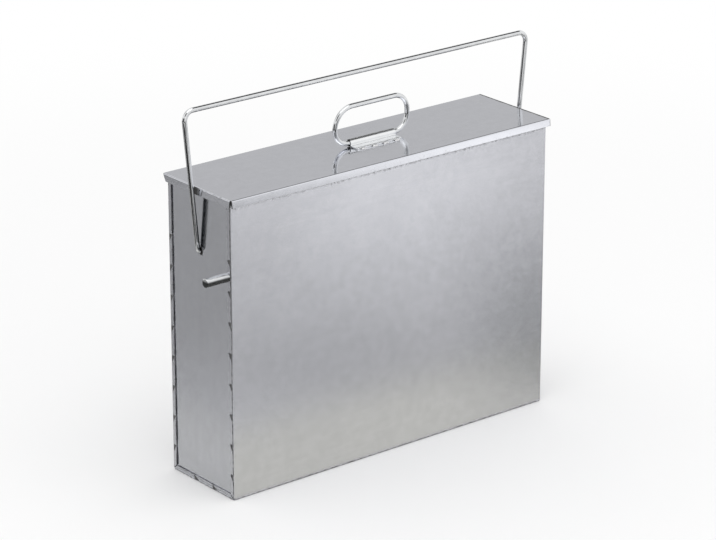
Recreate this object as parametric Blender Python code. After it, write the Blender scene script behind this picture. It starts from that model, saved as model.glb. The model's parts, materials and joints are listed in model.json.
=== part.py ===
"""Slim rectangular ash bucket with a lift-off lid, a wire carrying bail and a folding lid loop.

Lengths are in metres. +Z is up, the large front panel faces -Y and the base rests on Z = 0.
Each sheet piece starts as a flat outline. Its edges are turned over fold arcs, and it is then
thickened to the stock thickness. Wire pieces are paths with rounded bends.
"""
import math

import bmesh
import bpy
from mathutils import Matrix, Vector

# Overall sizes
BODY_LENGTH = 0.400
BODY_DEPTH = 0.100
LID_TOP = 0.310

# Sheet and wire stock
SHEET = 0.0008
WIRE = 0.005
FOLD_INNER = 0.0004
GAP = 0.0003

# Seam lips of the body with their crimp notches, and rim hems
LIP_WIDTH = 0.0055
MITRE_RELIEF = 0.0006
HEM_DEPTH = 0.006
CRIMP_FIRST = 0.027
CRIMP_LAST_DROP = 0.060
CRIMP_COUNT = 8
CRIMP_LENGTH = 0.008
CRIMP_FOLD_MARGIN = 0.0004
BASE_CRIMP_SPACING = 0.030
BASE_CRIMP_COUNT = 2

# Lid
LID_OVERHANG_X = 0.0025
LID_OVERHANG_Y = 0.0045
LID_SKIRT = 0.0076
LID_FLARE = math.radians(6.0)
LID_FLAP_SLANT = math.radians(2.0)

# Lid loop and the clip that carries it
HANDLE_X = 0.015
HANDLE_Y = 0.0035
LOOP_LENGTH = 0.092
LOOP_RISE = 0.0375
LOOP_CORNER = 0.017
CLIP_END_CLEARANCE = 0.0005
CLIP_FLANGE = 0.0135
CLIP_FILLET = 0.0012
CLIP_WELD_COUNT = 4
CLIP_WELD_LENGTH = 0.006
CLIP_WELD_WIDTH = 0.0026
CLIP_WELD_HEIGHT = 0.0011

# Carrying bail
PIVOT_DROP = 0.065
BAIL_RISE = 0.077
BAIL_FOOT_CLEARANCE = 0.0004
BAIL_BORE_CLEARANCE = 0.0005
BAIL_SPLAY = 0.0137
BAIL_TOP_BEND = 0.0095
BAIL_FOOT_BEND = 0.0032
BAIL_STUB = 0.011

# Stop pin on the left end
PIN_DIAMETER = 0.009
PIN_LENGTH = 0.027
PIN_DROP = 0.079
PIN_SPIGOT = 0.005
PIN_HEAD_DIAMETER = 0.0074
PIN_HEAD_THICKNESS = 0.0016
PIN_HEAD_CLEARANCE = 0.0005
PIN_CHAMFER = 0.0008

# Facets
WIRE_SIDES = 16
FOLD_STEPS = 4
BEND_STEPS = 8
TURN_STEPS = 32

# Derived sizes and places
FOLD_OUTER = FOLD_INNER + SHEET
HALF_LENGTH = BODY_LENGTH / 2
HALF_DEPTH = BODY_DEPTH / 2
RIM_Z = LID_TOP - SHEET - GAP
HEM_FOLD_Z = RIM_Z - FOLD_OUTER
PANEL_OUTER_X = HALF_LENGTH - SHEET - GAP
PANEL_INNER_X = PANEL_OUTER_X - SHEET
PANEL_EDGE_Y = HALF_DEPTH - SHEET - GAP
PIVOT = Vector((0.0, 0.0, LID_TOP - PIVOT_DROP))
PIN_Y = SHEET + PIN_HEAD_CLEARANCE + PIN_HEAD_DIAMETER / 2 - HALF_DEPTH
PIN_Z = LID_TOP - PIN_DROP
KNUCKLE_RADIUS = WIRE / 2 + GAP + SHEET / 2
LOOP_AXIS = Vector((HANDLE_X, HANDLE_Y, LID_TOP + GAP + SHEET / 2 + KNUCKLE_RADIUS))
CLIP_LENGTH = LOOP_LENGTH - 2 * (LOOP_CORNER + CLIP_END_CLEARANCE)
CLIP_FRONT_Y = HANDLE_Y - CLIP_FLANGE

AXIS_X = Vector((1.0, 0.0, 0.0))
AXIS_Y = Vector((0.0, 1.0, 0.0))
AXIS_Z = Vector((0.0, 0.0, 1.0))
QUARTER = math.pi / 2


def clear_scene():
    """Remove every object of the start-up scene."""
    for obj in list(bpy.data.objects):
        bpy.data.objects.remove(obj, do_unlink=True)


def make_material(name, grey, roughness):
    """Return a plain metal material that belongs to one piece."""
    material = bpy.data.materials.new(name + "_metal")
    material.use_nodes = True
    shader = material.node_tree.nodes["Principled BSDF"]
    shader.inputs["Base Color"].default_value = (grey, grey, grey, 1.0)
    shader.inputs["Metallic"].default_value = 1.0
    shader.inputs["Roughness"].default_value = roughness
    return material


def link_object(name, data, grey, roughness, place):
    """Place new object data in the scene with its own material."""
    data.materials.append(make_material(name, grey, roughness))
    obj = bpy.data.objects.new(name, data)
    obj.location = place
    bpy.context.collection.objects.link(obj)
    return obj


def mesh_object(name, bm, grey, roughness, place=Vector()):
    """Turn a bmesh into a named object whose origin lies at a given place."""
    bmesh.ops.translate(bm, verts=bm.verts, vec=-place)
    mesh = bpy.data.meshes.new(name)
    bm.to_mesh(mesh)
    bm.free()
    mesh.shade_smooth()
    mesh.set_sharp_from_angle(angle=math.radians(35.0))
    return link_object(name, mesh, grey, roughness, place)


def face_towards(bm, point, direction):
    """Make the faces agree, with the face nearest to a point looking along a direction."""
    bmesh.ops.recalc_face_normals(bm, faces=bm.faces)
    nearest = min(bm.faces, key=lambda face: (face.calc_center_median() - point).length)
    if nearest.normal.dot(direction) < 0.0:
        bmesh.ops.reverse_faces(bm, faces=bm.faces)


def thicken(obj, offset):
    """Thicken a folded surface to the sheet thickness."""
    solid = obj.modifiers.new("sheet", "SOLIDIFY")
    solid.thickness = SHEET
    solid.offset = offset
    solid.use_even_offset = True
    solid.use_rim = True


def find_edge(bm, point):
    """Return the edge whose middle lies nearest to a point."""
    return min(bm.edges, key=lambda e: ((e.verts[0].co + e.verts[1].co) / 2 - point).length)


def chain(bm, points):
    """Add vertices joined one after the other and return the edges."""
    verts = [bm.verts.new(point) for point in points]
    return [bm.edges.new(pair) for pair in zip(verts, verts[1:])]


def sweep(bm, edges, shifts):
    """Extrude a chain of edges by one shift after another."""
    for shift in shifts:
        grown = bmesh.ops.extrude_edge_only(bm, edges=edges)["geom"]
        verts = [item for item in grown if isinstance(item, bmesh.types.BMVert)]
        edges = [item for item in grown if isinstance(item, bmesh.types.BMEdge)]
        bmesh.ops.translate(bm, verts=verts, vec=shift)
        edges = [edge for edge in edges if all(vert in verts for vert in edge.verts)]


def fold(bm, edge, centre, axis, angle, direction, width):
    """Turn a sheet edge over a fold arc into a flat flange and return its free vertices."""
    steps = max(1, round(FOLD_STEPS * abs(angle) / QUARTER))
    turned = bmesh.ops.spin(
        bm,
        geom=[edge, *edge.verts],
        cent=centre,
        axis=axis,
        angle=angle,
        steps=steps,
    )
    last = [item for item in turned["geom_last"] if isinstance(item, bmesh.types.BMEdge)]
    flange = bmesh.ops.extrude_edge_only(bm, edges=last)
    free = [item for item in flange["geom"] if isinstance(item, bmesh.types.BMVert)]
    bmesh.ops.translate(bm, verts=free, vec=direction * width)
    return free


def arc(centre, radius, start, end, steps):
    """Return the points of an arc in a plane, both ends included."""
    angles = [start + (end - start) * index / steps for index in range(steps + 1)]
    return [centre + radius * Vector((math.cos(angle), math.sin(angle))) for angle in angles]


def round_corner(before, corner, after, radius):
    """Return the arc that rounds one corner of a path in a plane."""
    inward = (before - corner).normalized()
    onward = (after - corner).normalized()
    half = inward.angle(onward) / 2
    centre = corner + (inward + onward).normalized() * (radius / math.sin(half))
    first = corner + inward * (radius / math.tan(half)) - centre
    turn = first.angle_signed(corner + onward * (radius / math.tan(half)) - centre)
    spins = [Matrix.Rotation(-turn * step / BEND_STEPS, 2) for step in range(BEND_STEPS + 1)]
    return [centre + spin @ first for spin in spins]


def hidden_object(name, bm, place):
    """Turn a bmesh into a helper that is not part of the product."""
    mesh = bpy.data.meshes.new(name)
    bm.to_mesh(mesh)
    bm.free()
    helper = bpy.data.objects.new(name, mesh)
    helper.location = place
    helper.hide_render = True
    helper.display_type = "WIRE"
    bpy.context.collection.objects.link(helper)
    return helper


def make_bore(name, centre, radius, length):
    """Add a hidden round cutter along X."""
    bm = bmesh.new()
    bmesh.ops.create_cone(
        bm,
        cap_ends=True,
        segments=TURN_STEPS,
        radius1=radius,
        radius2=radius,
        depth=length,
        matrix=Matrix.Rotation(QUARTER, 4, "Y"),
    )
    return hidden_object(name, bm, centre)


def cut(target, cutter):
    """Cut a piece with a cutter."""
    boolean = target.modifiers.new(cutter.name, "BOOLEAN")
    boolean.operation = "DIFFERENCE"
    boolean.solver = "EXACT"
    boolean.object = cutter


def wire_object(name, points, cyclic, grey, roughness, place):
    """Run round wire along a path that lies in the X-Z plane of its own origin."""
    curve = bpy.data.curves.new(name, "CURVE")
    curve.dimensions = "3D"
    curve.bevel_depth = WIRE / 2
    curve.bevel_resolution = (WIRE_SIDES - 4) // 2
    curve.use_fill_caps = True
    spline = curve.splines.new("POLY")
    spline.points.add(len(points) - 1)
    for slot, point in zip(spline.points, points):
        slot.co = (point.x, 0.0, point.y, 1.0)
    spline.use_cyclic_u = cyclic
    spline.use_smooth = True
    return link_object(name, curve, grey, roughness, place)


def build_wrapper(cutters):
    """Fold front, base and back from one sheet, with hems at the rim and lips over both ends."""
    r = FOLD_OUTER
    lowest = r + MITRE_RELIEF
    front_turn = arc(Vector((r - HALF_DEPTH, r)), r, math.pi, 3 * QUARTER, FOLD_STEPS)
    back_turn = arc(Vector((HALF_DEPTH - r, r)), r, -QUARTER, 0.0, FOLD_STEPS)
    section = [Vector((-HALF_DEPTH, HEM_FOLD_Z)), Vector((-HALF_DEPTH, lowest))]
    section += front_turn
    section += [Vector((lowest - HALF_DEPTH, 0.0)), Vector((HALF_DEPTH - lowest, 0.0))]
    section += back_turn
    section += [Vector((HALF_DEPTH, lowest)), Vector((HALF_DEPTH, HEM_FOLD_Z))]
    end_x = HALF_LENGTH - r
    hem_x = PANEL_INNER_X - GAP
    bm = bmesh.new()
    edges = chain(bm, [(-end_x, point.x, point.y) for point in section])
    sweep(bm, edges, [AXIS_X * (end_x - hem_x), AXIS_X * 2 * hem_x, AXIS_X * (end_x - hem_x)])
    for side in (-1, 1):
        edge = find_edge(bm, Vector((0.0, side * HALF_DEPTH, HEM_FOLD_Z)))
        centre = Vector((0.0, side * (HALF_DEPTH - r), HEM_FOLD_Z))
        fold(bm, edge, centre, AXIS_X, side * math.pi, -AXIS_Z, HEM_DEPTH)
    wall_z = (HEM_FOLD_Z + lowest) / 2
    for end in (-1, 1):
        for side in (-1, 1):
            edge = find_edge(bm, Vector((end * end_x, side * HALF_DEPTH, wall_z)))
            centre = Vector((end * end_x, side * (HALF_DEPTH - r), 0.0))
            free = fold(bm, edge, centre, AXIS_Z, -side * end * QUARTER, -side * AXIS_Y, LIP_WIDTH - r)
            min(free, key=lambda vert: vert.co.z).co.z = LIP_WIDTH + MITRE_RELIEF
        edge = find_edge(bm, Vector((end * end_x, 0.0, 0.0)))
        centre = Vector((end * end_x, 0.0, r))
        for vert in fold(bm, edge, centre, AXIS_Y, -end * QUARTER, AXIS_Z, LIP_WIDTH - r):
            vert.co.y = math.copysign(HALF_DEPTH - LIP_WIDTH - MITRE_RELIEF, vert.co.y)
    face_towards(bm, Vector((0.0, -HALF_DEPTH, wall_z)), -AXIS_Y)
    wrapper = mesh_object("body_wrapper", bm, 0.60, 0.32)
    thicken(wrapper, -1.0)
    for cutter in cutters:
        cut(wrapper, cutter)
    return wrapper


def build_end_panel(name, end, cutters):
    """Make one end panel with its rim hem, held behind the lips of the wrapper."""
    bottom = SHEET + GAP
    hem_y = HALF_DEPTH - 2 * FOLD_OUTER - GAP
    outer = end * PANEL_OUTER_X
    bm = bmesh.new()
    edges = chain(bm, [(outer, -PANEL_EDGE_Y, bottom), (outer, -PANEL_EDGE_Y, HEM_FOLD_Z)])
    sweep(bm, edges, [AXIS_Y * (PANEL_EDGE_Y - hem_y), AXIS_Y * 2 * hem_y, AXIS_Y * (PANEL_EDGE_Y - hem_y)])
    edge = find_edge(bm, Vector((outer, 0.0, HEM_FOLD_Z)))
    centre = Vector((outer - end * FOLD_OUTER, 0.0, HEM_FOLD_Z))
    fold(bm, edge, centre, AXIS_Y, -end * math.pi, -AXIS_Z, HEM_DEPTH)
    face_towards(bm, Vector((outer, 0.0, HEM_FOLD_Z / 2)), end * AXIS_X)
    panel = mesh_object(name, bm, 0.56, 0.32)
    thicken(panel, -1.0)
    for cutter in cutters:
        cut(panel, cutter)
    return panel


def add_crimp(bm, corner, across, along, inward):
    """Add one wedge that notches a seam lip from its free edge towards its fold."""
    reach = LIP_WIDTH - FOLD_OUTER - CRIMP_FOLD_MARGIN + GAP
    start = corner + across * CRIMP_FOLD_MARGIN - inward * GAP
    outline = [start, start + across * reach, start + along * CRIMP_LENGTH]
    face = bm.faces.new([bm.verts.new(point) for point in outline])
    grown = bmesh.ops.extrude_face_region(bm, geom=[face])["geom"]
    verts = [item for item in grown if isinstance(item, bmesh.types.BMVert)]
    bmesh.ops.translate(bm, verts=verts, vec=inward * (SHEET + 2 * GAP))


def make_crimp_cutter():
    """Add the hidden wedges that notch the lips where they were snipped and hammered down."""
    bm = bmesh.new()
    pitch = (RIM_Z - CRIMP_LAST_DROP - CRIMP_FIRST) / (CRIMP_COUNT - 1)
    for end in (-1, 1):
        face_x = end * HALF_LENGTH
        for index in range(CRIMP_COUNT):
            z = CRIMP_FIRST + index * pitch
            for side in (-1, 1):
                corner = Vector((face_x, side * (HALF_DEPTH - FOLD_OUTER), z))
                add_crimp(bm, corner, -side * AXIS_Y, -AXIS_Z, -end * AXIS_X)
        for index in range(BASE_CRIMP_COUNT):
            y = (index - (BASE_CRIMP_COUNT - 1) / 2) * BASE_CRIMP_SPACING
            add_crimp(bm, Vector((face_x, y, FOLD_OUTER)), AXIS_Z, -AXIS_Y, -end * AXIS_X)
    bmesh.ops.recalc_face_normals(bm, faces=bm.faces)
    return hidden_object("crimp_wedges", bm, Vector())


def build_lid():
    """Fold the lid from one sheet with four flared skirt flaps that leave its corners open."""
    r = FOLD_OUTER
    plate_x = HALF_LENGTH + LID_OVERHANG_X - r
    plate_y = HALF_DEPTH + LID_OVERHANG_Y - r
    turn = QUARTER - LID_FLARE
    drop = (LID_SKIRT - r) / math.cos(LID_FLARE)
    trim = drop * math.tan(LID_FLAP_SLANT)
    bm = bmesh.new()
    edges = chain(bm, [(-plate_x, -plate_y, LID_TOP), (-plate_x, plate_y, LID_TOP)])
    sweep(bm, edges, [AXIS_X * 2 * plate_x])
    for side in (-1, 1):
        edge = find_edge(bm, Vector((0.0, side * plate_y, LID_TOP)))
        centre = Vector((0.0, side * plate_y, LID_TOP - r))
        leaning = side * math.sin(LID_FLARE) * AXIS_Y - math.cos(LID_FLARE) * AXIS_Z
        for vert in fold(bm, edge, centre, AXIS_X, -side * turn, leaning, drop):
            vert.co.x = math.copysign(plate_x - trim, vert.co.x)
        edge = find_edge(bm, Vector((side * plate_x, 0.0, LID_TOP)))
        centre = Vector((side * plate_x, 0.0, LID_TOP - r))
        leaning = side * math.sin(LID_FLARE) * AXIS_X - math.cos(LID_FLARE) * AXIS_Z
        for vert in fold(bm, edge, centre, AXIS_Y, side * turn, leaning, drop):
            vert.co.y = math.copysign(plate_y - trim, vert.co.y)
    face_towards(bm, Vector((0.0, 0.0, LID_TOP)), AXIS_Z)
    lid = mesh_object("lid", bm, 0.62, 0.28, Vector((0.0, 0.0, LID_TOP)))
    thicken(lid, -1.0)
    return lid


def build_clip():
    """Wrap a strip round the straight run of the loop and lay both its leaves on the lid."""
    axis = Vector((LOOP_AXIS.y, LOOP_AXIS.z))
    leaf_z = axis.y - KNUCKLE_RADIUS + SHEET + GAP
    rise = leaf_z + CLIP_FILLET - axis.y
    reach = KNUCKLE_RADIUS + CLIP_FILLET
    fillet = Vector((axis.x - math.sqrt(reach ** 2 - rise ** 2), leaf_z + CLIP_FILLET))
    meeting = math.atan2(rise, axis.x - fillet.x)
    path = [Vector((CLIP_FRONT_Y, axis.y - KNUCKLE_RADIUS))]
    path += arc(axis, KNUCKLE_RADIUS, -QUARTER, math.pi - meeting, 3 * BEND_STEPS)
    path += arc(fillet, CLIP_FILLET, -meeting, -QUARTER, BEND_STEPS)[1:]
    path.append(Vector((CLIP_FRONT_Y, leaf_z)))
    start_x = HANDLE_X - CLIP_LENGTH / 2
    bm = bmesh.new()
    edges = chain(bm, [(start_x, point.x, point.y) for point in path])
    sweep(bm, edges, [AXIS_X * CLIP_LENGTH])
    face_towards(bm, Vector((HANDLE_X, axis.x, axis.y + KNUCKLE_RADIUS)), AXIS_Z)
    clip = mesh_object("lid_handle_clip", bm, 0.70, 0.25, LOOP_AXIS)
    thicken(clip, 0.0)
    return clip


def build_clip_weld(name, x):
    """Make one weld bead at the front edge of the clip."""
    bm = bmesh.new()
    bmesh.ops.create_uvsphere(bm, u_segments=12, v_segments=8, radius=1.0)
    below = [vert for vert in bm.verts if vert.co.z < -0.1]
    bmesh.ops.delete(bm, geom=below, context="VERTS")
    bmesh.ops.holes_fill(bm, edges=[edge for edge in bm.edges if edge.is_boundary], sides=0)
    size = (CLIP_WELD_LENGTH / 2, CLIP_WELD_WIDTH / 2, CLIP_WELD_HEIGHT)
    bmesh.ops.scale(bm, verts=bm.verts, vec=size)
    place = Vector((x, CLIP_FRONT_Y - GAP - CLIP_WELD_WIDTH / 2, LID_TOP + GAP))
    bmesh.ops.translate(bm, verts=bm.verts, vec=place)
    bmesh.ops.recalc_face_normals(bm, faces=bm.faces)
    return mesh_object(name, bm, 0.40, 0.45, place)


def build_loop():
    """Bend the closed wire loop that lifts the lid."""
    half = LOOP_LENGTH / 2
    corners = [Vector((-half, 0.0)), Vector((half, 0.0)), Vector((half, LOOP_RISE)), Vector((-half, LOOP_RISE))]
    path = []
    for index, corner in enumerate(corners):
        path += round_corner(corners[index - 1], corner, corners[(index + 1) % 4], LOOP_CORNER)
    return wire_object("lid_handle_loop", path, True, 0.72, 0.18, LOOP_AXIS)


def build_bail():
    """Bend the carrying bail, whose feet turn inward through the end panels."""
    tip = PANEL_INNER_X - BAIL_STUB
    foot = PANEL_OUTER_X + BAIL_FOOT_CLEARANCE + WIRE / 2
    top = foot + BAIL_SPLAY
    bar = PIVOT_DROP + BAIL_RISE
    corners = [Vector((-tip, 0.0)), Vector((-foot, 0.0)), Vector((-top, bar))]
    corners += [Vector((top, bar)), Vector((foot, 0.0)), Vector((tip, 0.0))]
    bends = [BAIL_FOOT_BEND, BAIL_TOP_BEND, BAIL_TOP_BEND, BAIL_FOOT_BEND]
    path = [corners[0]]
    for before, corner, after, radius in zip(corners, corners[1:], corners[2:], bends):
        path += round_corner(before, corner, after, radius)
    path.append(corners[-1])
    return wire_object("carry_bail", path, False, 0.72, 0.18, PIVOT)


def build_pin():
    """Turn the stop pin: stub, riveted spigot and the head that holds it inside."""
    head_face = HALF_LENGTH - 2 * SHEET - 2 * GAP
    head_end = head_face - PIN_HEAD_THICKNESS
    shoulder = HALF_LENGTH + GAP
    tip = HALF_LENGTH + PIN_LENGTH
    profile = [
        (head_end, 0.0),
        (head_end, PIN_HEAD_DIAMETER / 2 - PIN_CHAMFER),
        (head_end + PIN_CHAMFER, PIN_HEAD_DIAMETER / 2),
        (head_face, PIN_HEAD_DIAMETER / 2),
        (head_face, PIN_SPIGOT / 2),
        (shoulder, PIN_SPIGOT / 2),
        (shoulder, PIN_DIAMETER / 2),
        (tip - PIN_CHAMFER, PIN_DIAMETER / 2),
        (tip, PIN_DIAMETER / 2 - PIN_CHAMFER),
        (tip, 0.0),
    ]
    bm = bmesh.new()
    edges = chain(bm, [(-along, PIN_Y, PIN_Z + radius) for along, radius in profile])
    bmesh.ops.spin(
        bm,
        geom=[*bm.verts, *edges],
        cent=(0.0, PIN_Y, PIN_Z),
        axis=AXIS_X,
        angle=2 * math.pi,
        steps=TURN_STEPS,
        use_merge=True,
    )
    bmesh.ops.remove_doubles(bm, verts=bm.verts, dist=1e-6)
    bmesh.ops.recalc_face_normals(bm, faces=bm.faces)
    return mesh_object("stop_pin", bm, 0.58, 0.30, Vector((-HALF_LENGTH, PIN_Y, PIN_Z)))


def set_parent(child, parent):
    """Parent a piece without moving it."""
    child.parent = parent
    child.matrix_parent_inverse = parent.matrix_world.inverted()


def main():
    """Build every piece in place."""
    clear_scene()
    bore_length = 2 * (PANEL_OUTER_X - PANEL_INNER_X) + 4 * LIP_WIDTH
    bore = WIRE / 2 + BAIL_BORE_CLEARANCE
    left_bore = make_bore("left_bail_bore", Vector((-PANEL_OUTER_X, 0.0, PIVOT.z)), bore, bore_length)
    right_bore = make_bore("right_bail_bore", Vector((PANEL_OUTER_X, 0.0, PIVOT.z)), bore, bore_length)
    pin_place = Vector((-PANEL_OUTER_X, PIN_Y, PIN_Z))
    pin_bore = make_bore("pin_bore", pin_place, PIN_SPIGOT / 2 + GAP, bore_length)
    wrapper = build_wrapper([make_crimp_cutter(), pin_bore])
    fixed = [
        build_end_panel("left_end_panel", -1, [left_bore, pin_bore]),
        build_end_panel("right_end_panel", 1, [right_bore]),
        build_pin(),
    ]
    lid = build_lid()
    carried = [build_clip(), build_loop()]
    for index in range(CLIP_WELD_COUNT):
        x = HANDLE_X + CLIP_LENGTH * ((index + 0.5) / CLIP_WELD_COUNT - 0.5)
        carried.append(build_clip_weld("clip_weld_" + str(index + 1), x))
    bail = build_bail()
    bpy.context.view_layer.update()
    for piece in (*fixed, bail):
        set_parent(piece, wrapper)
    for piece in carried:
        set_parent(piece, lid)
    bpy.context.view_layer.update()


main()
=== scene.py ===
"""Looks of a slim galvanised ash bucket with a flat lid, a lid loop, a carrying bail and a stop pin.

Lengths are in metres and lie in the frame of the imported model: +Z is up, the large front panel
faces -Y and the base rests on Z = 0.
"""
import json
import logging
import math
from dataclasses import dataclass
from enum import Enum
from typing import Callable, Iterable, Iterator, Sequence

import bmesh
import bpy
from bmesh.types import BMEdge, BMesh, BMFace, BMVert
from bpy.types import Material, Node, NodeOutputs, NodeSocket, NodeTree, Object
from mathutils import Euler, Matrix, Vector, noise

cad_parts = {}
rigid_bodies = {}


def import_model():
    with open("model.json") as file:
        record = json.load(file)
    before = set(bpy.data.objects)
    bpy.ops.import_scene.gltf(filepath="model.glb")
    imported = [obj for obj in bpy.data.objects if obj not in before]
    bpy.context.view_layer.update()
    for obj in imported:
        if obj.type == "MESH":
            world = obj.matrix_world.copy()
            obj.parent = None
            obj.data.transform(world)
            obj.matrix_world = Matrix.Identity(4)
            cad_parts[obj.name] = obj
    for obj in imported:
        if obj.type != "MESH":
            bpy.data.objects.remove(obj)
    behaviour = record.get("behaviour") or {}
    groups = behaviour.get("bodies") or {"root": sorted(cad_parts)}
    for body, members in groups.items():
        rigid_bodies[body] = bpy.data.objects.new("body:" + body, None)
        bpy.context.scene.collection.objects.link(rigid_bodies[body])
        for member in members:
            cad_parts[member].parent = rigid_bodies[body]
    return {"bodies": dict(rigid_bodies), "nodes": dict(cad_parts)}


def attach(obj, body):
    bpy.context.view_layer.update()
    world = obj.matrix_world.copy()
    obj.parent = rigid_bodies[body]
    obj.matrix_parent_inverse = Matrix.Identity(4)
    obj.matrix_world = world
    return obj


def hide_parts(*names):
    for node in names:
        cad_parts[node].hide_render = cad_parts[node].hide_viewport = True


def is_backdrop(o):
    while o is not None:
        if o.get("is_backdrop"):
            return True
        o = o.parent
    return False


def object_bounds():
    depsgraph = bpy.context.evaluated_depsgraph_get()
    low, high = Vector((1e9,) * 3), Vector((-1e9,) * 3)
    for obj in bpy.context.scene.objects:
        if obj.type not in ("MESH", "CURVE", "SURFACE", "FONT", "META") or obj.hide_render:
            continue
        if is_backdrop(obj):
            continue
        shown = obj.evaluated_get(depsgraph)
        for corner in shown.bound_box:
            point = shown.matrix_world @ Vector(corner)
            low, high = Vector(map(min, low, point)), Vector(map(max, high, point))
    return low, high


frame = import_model()
CAD_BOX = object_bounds()

Triple = tuple[float, float, float]
Pair = tuple[float, float]

LOG = logging.getLogger("ash_bucket")
IMAGE_WIDTH = 716
NODE_STEP = 180
TREE_START = -5400
QUARTER = math.pi / 2
CREASE = math.radians(38.0)
HARD_EDGE = math.radians(50.0)
ORIGIN = (0.0, 0.0, 0.0)
ONES = (1.0, 1.0, 1.0)
AXIS_X = Vector((1.0, 0.0, 0.0))
AXIS_Y = Vector((0.0, 1.0, 0.0))
AXIS_Z = Vector((0.0, 0.0, 1.0))
SIDES = (-1, 1)
NEAR = 1e-4
CLOSE = 1e-5
TOUCHING = 1e-6
GRIME_AND_SHADE = "grime_and_shade"
STOCK = "stock"
# Dark colour of the wires' painted shade and painted dark reflections.
PAINTED_SHADE = (0.05, 0.055, 0.06)


class Body(Enum):
    """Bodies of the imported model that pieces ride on."""

    BUCKET = "bucket"
    LID = "lid_body"
    LOOP = "loop"
    BAIL = "bail"


class Slot(Enum):
    """Material slots of the record."""

    SHEET = "galvanised_sheet"
    LID = "galvanised_lid"
    STRIP = "bright_strip"
    WELD = "weld_metal"
    WIRE = "bright_wire"
    BAR = "zinc_bar"


class MillRun(Enum):
    """Direction of a sheet's rolling lines, as the stretch of the pattern along X, Y and Z."""

    ALONG_X = (2.0, 320.0, 320.0)
    ALONG_Z = (320.0, 320.0, 2.0)


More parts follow.
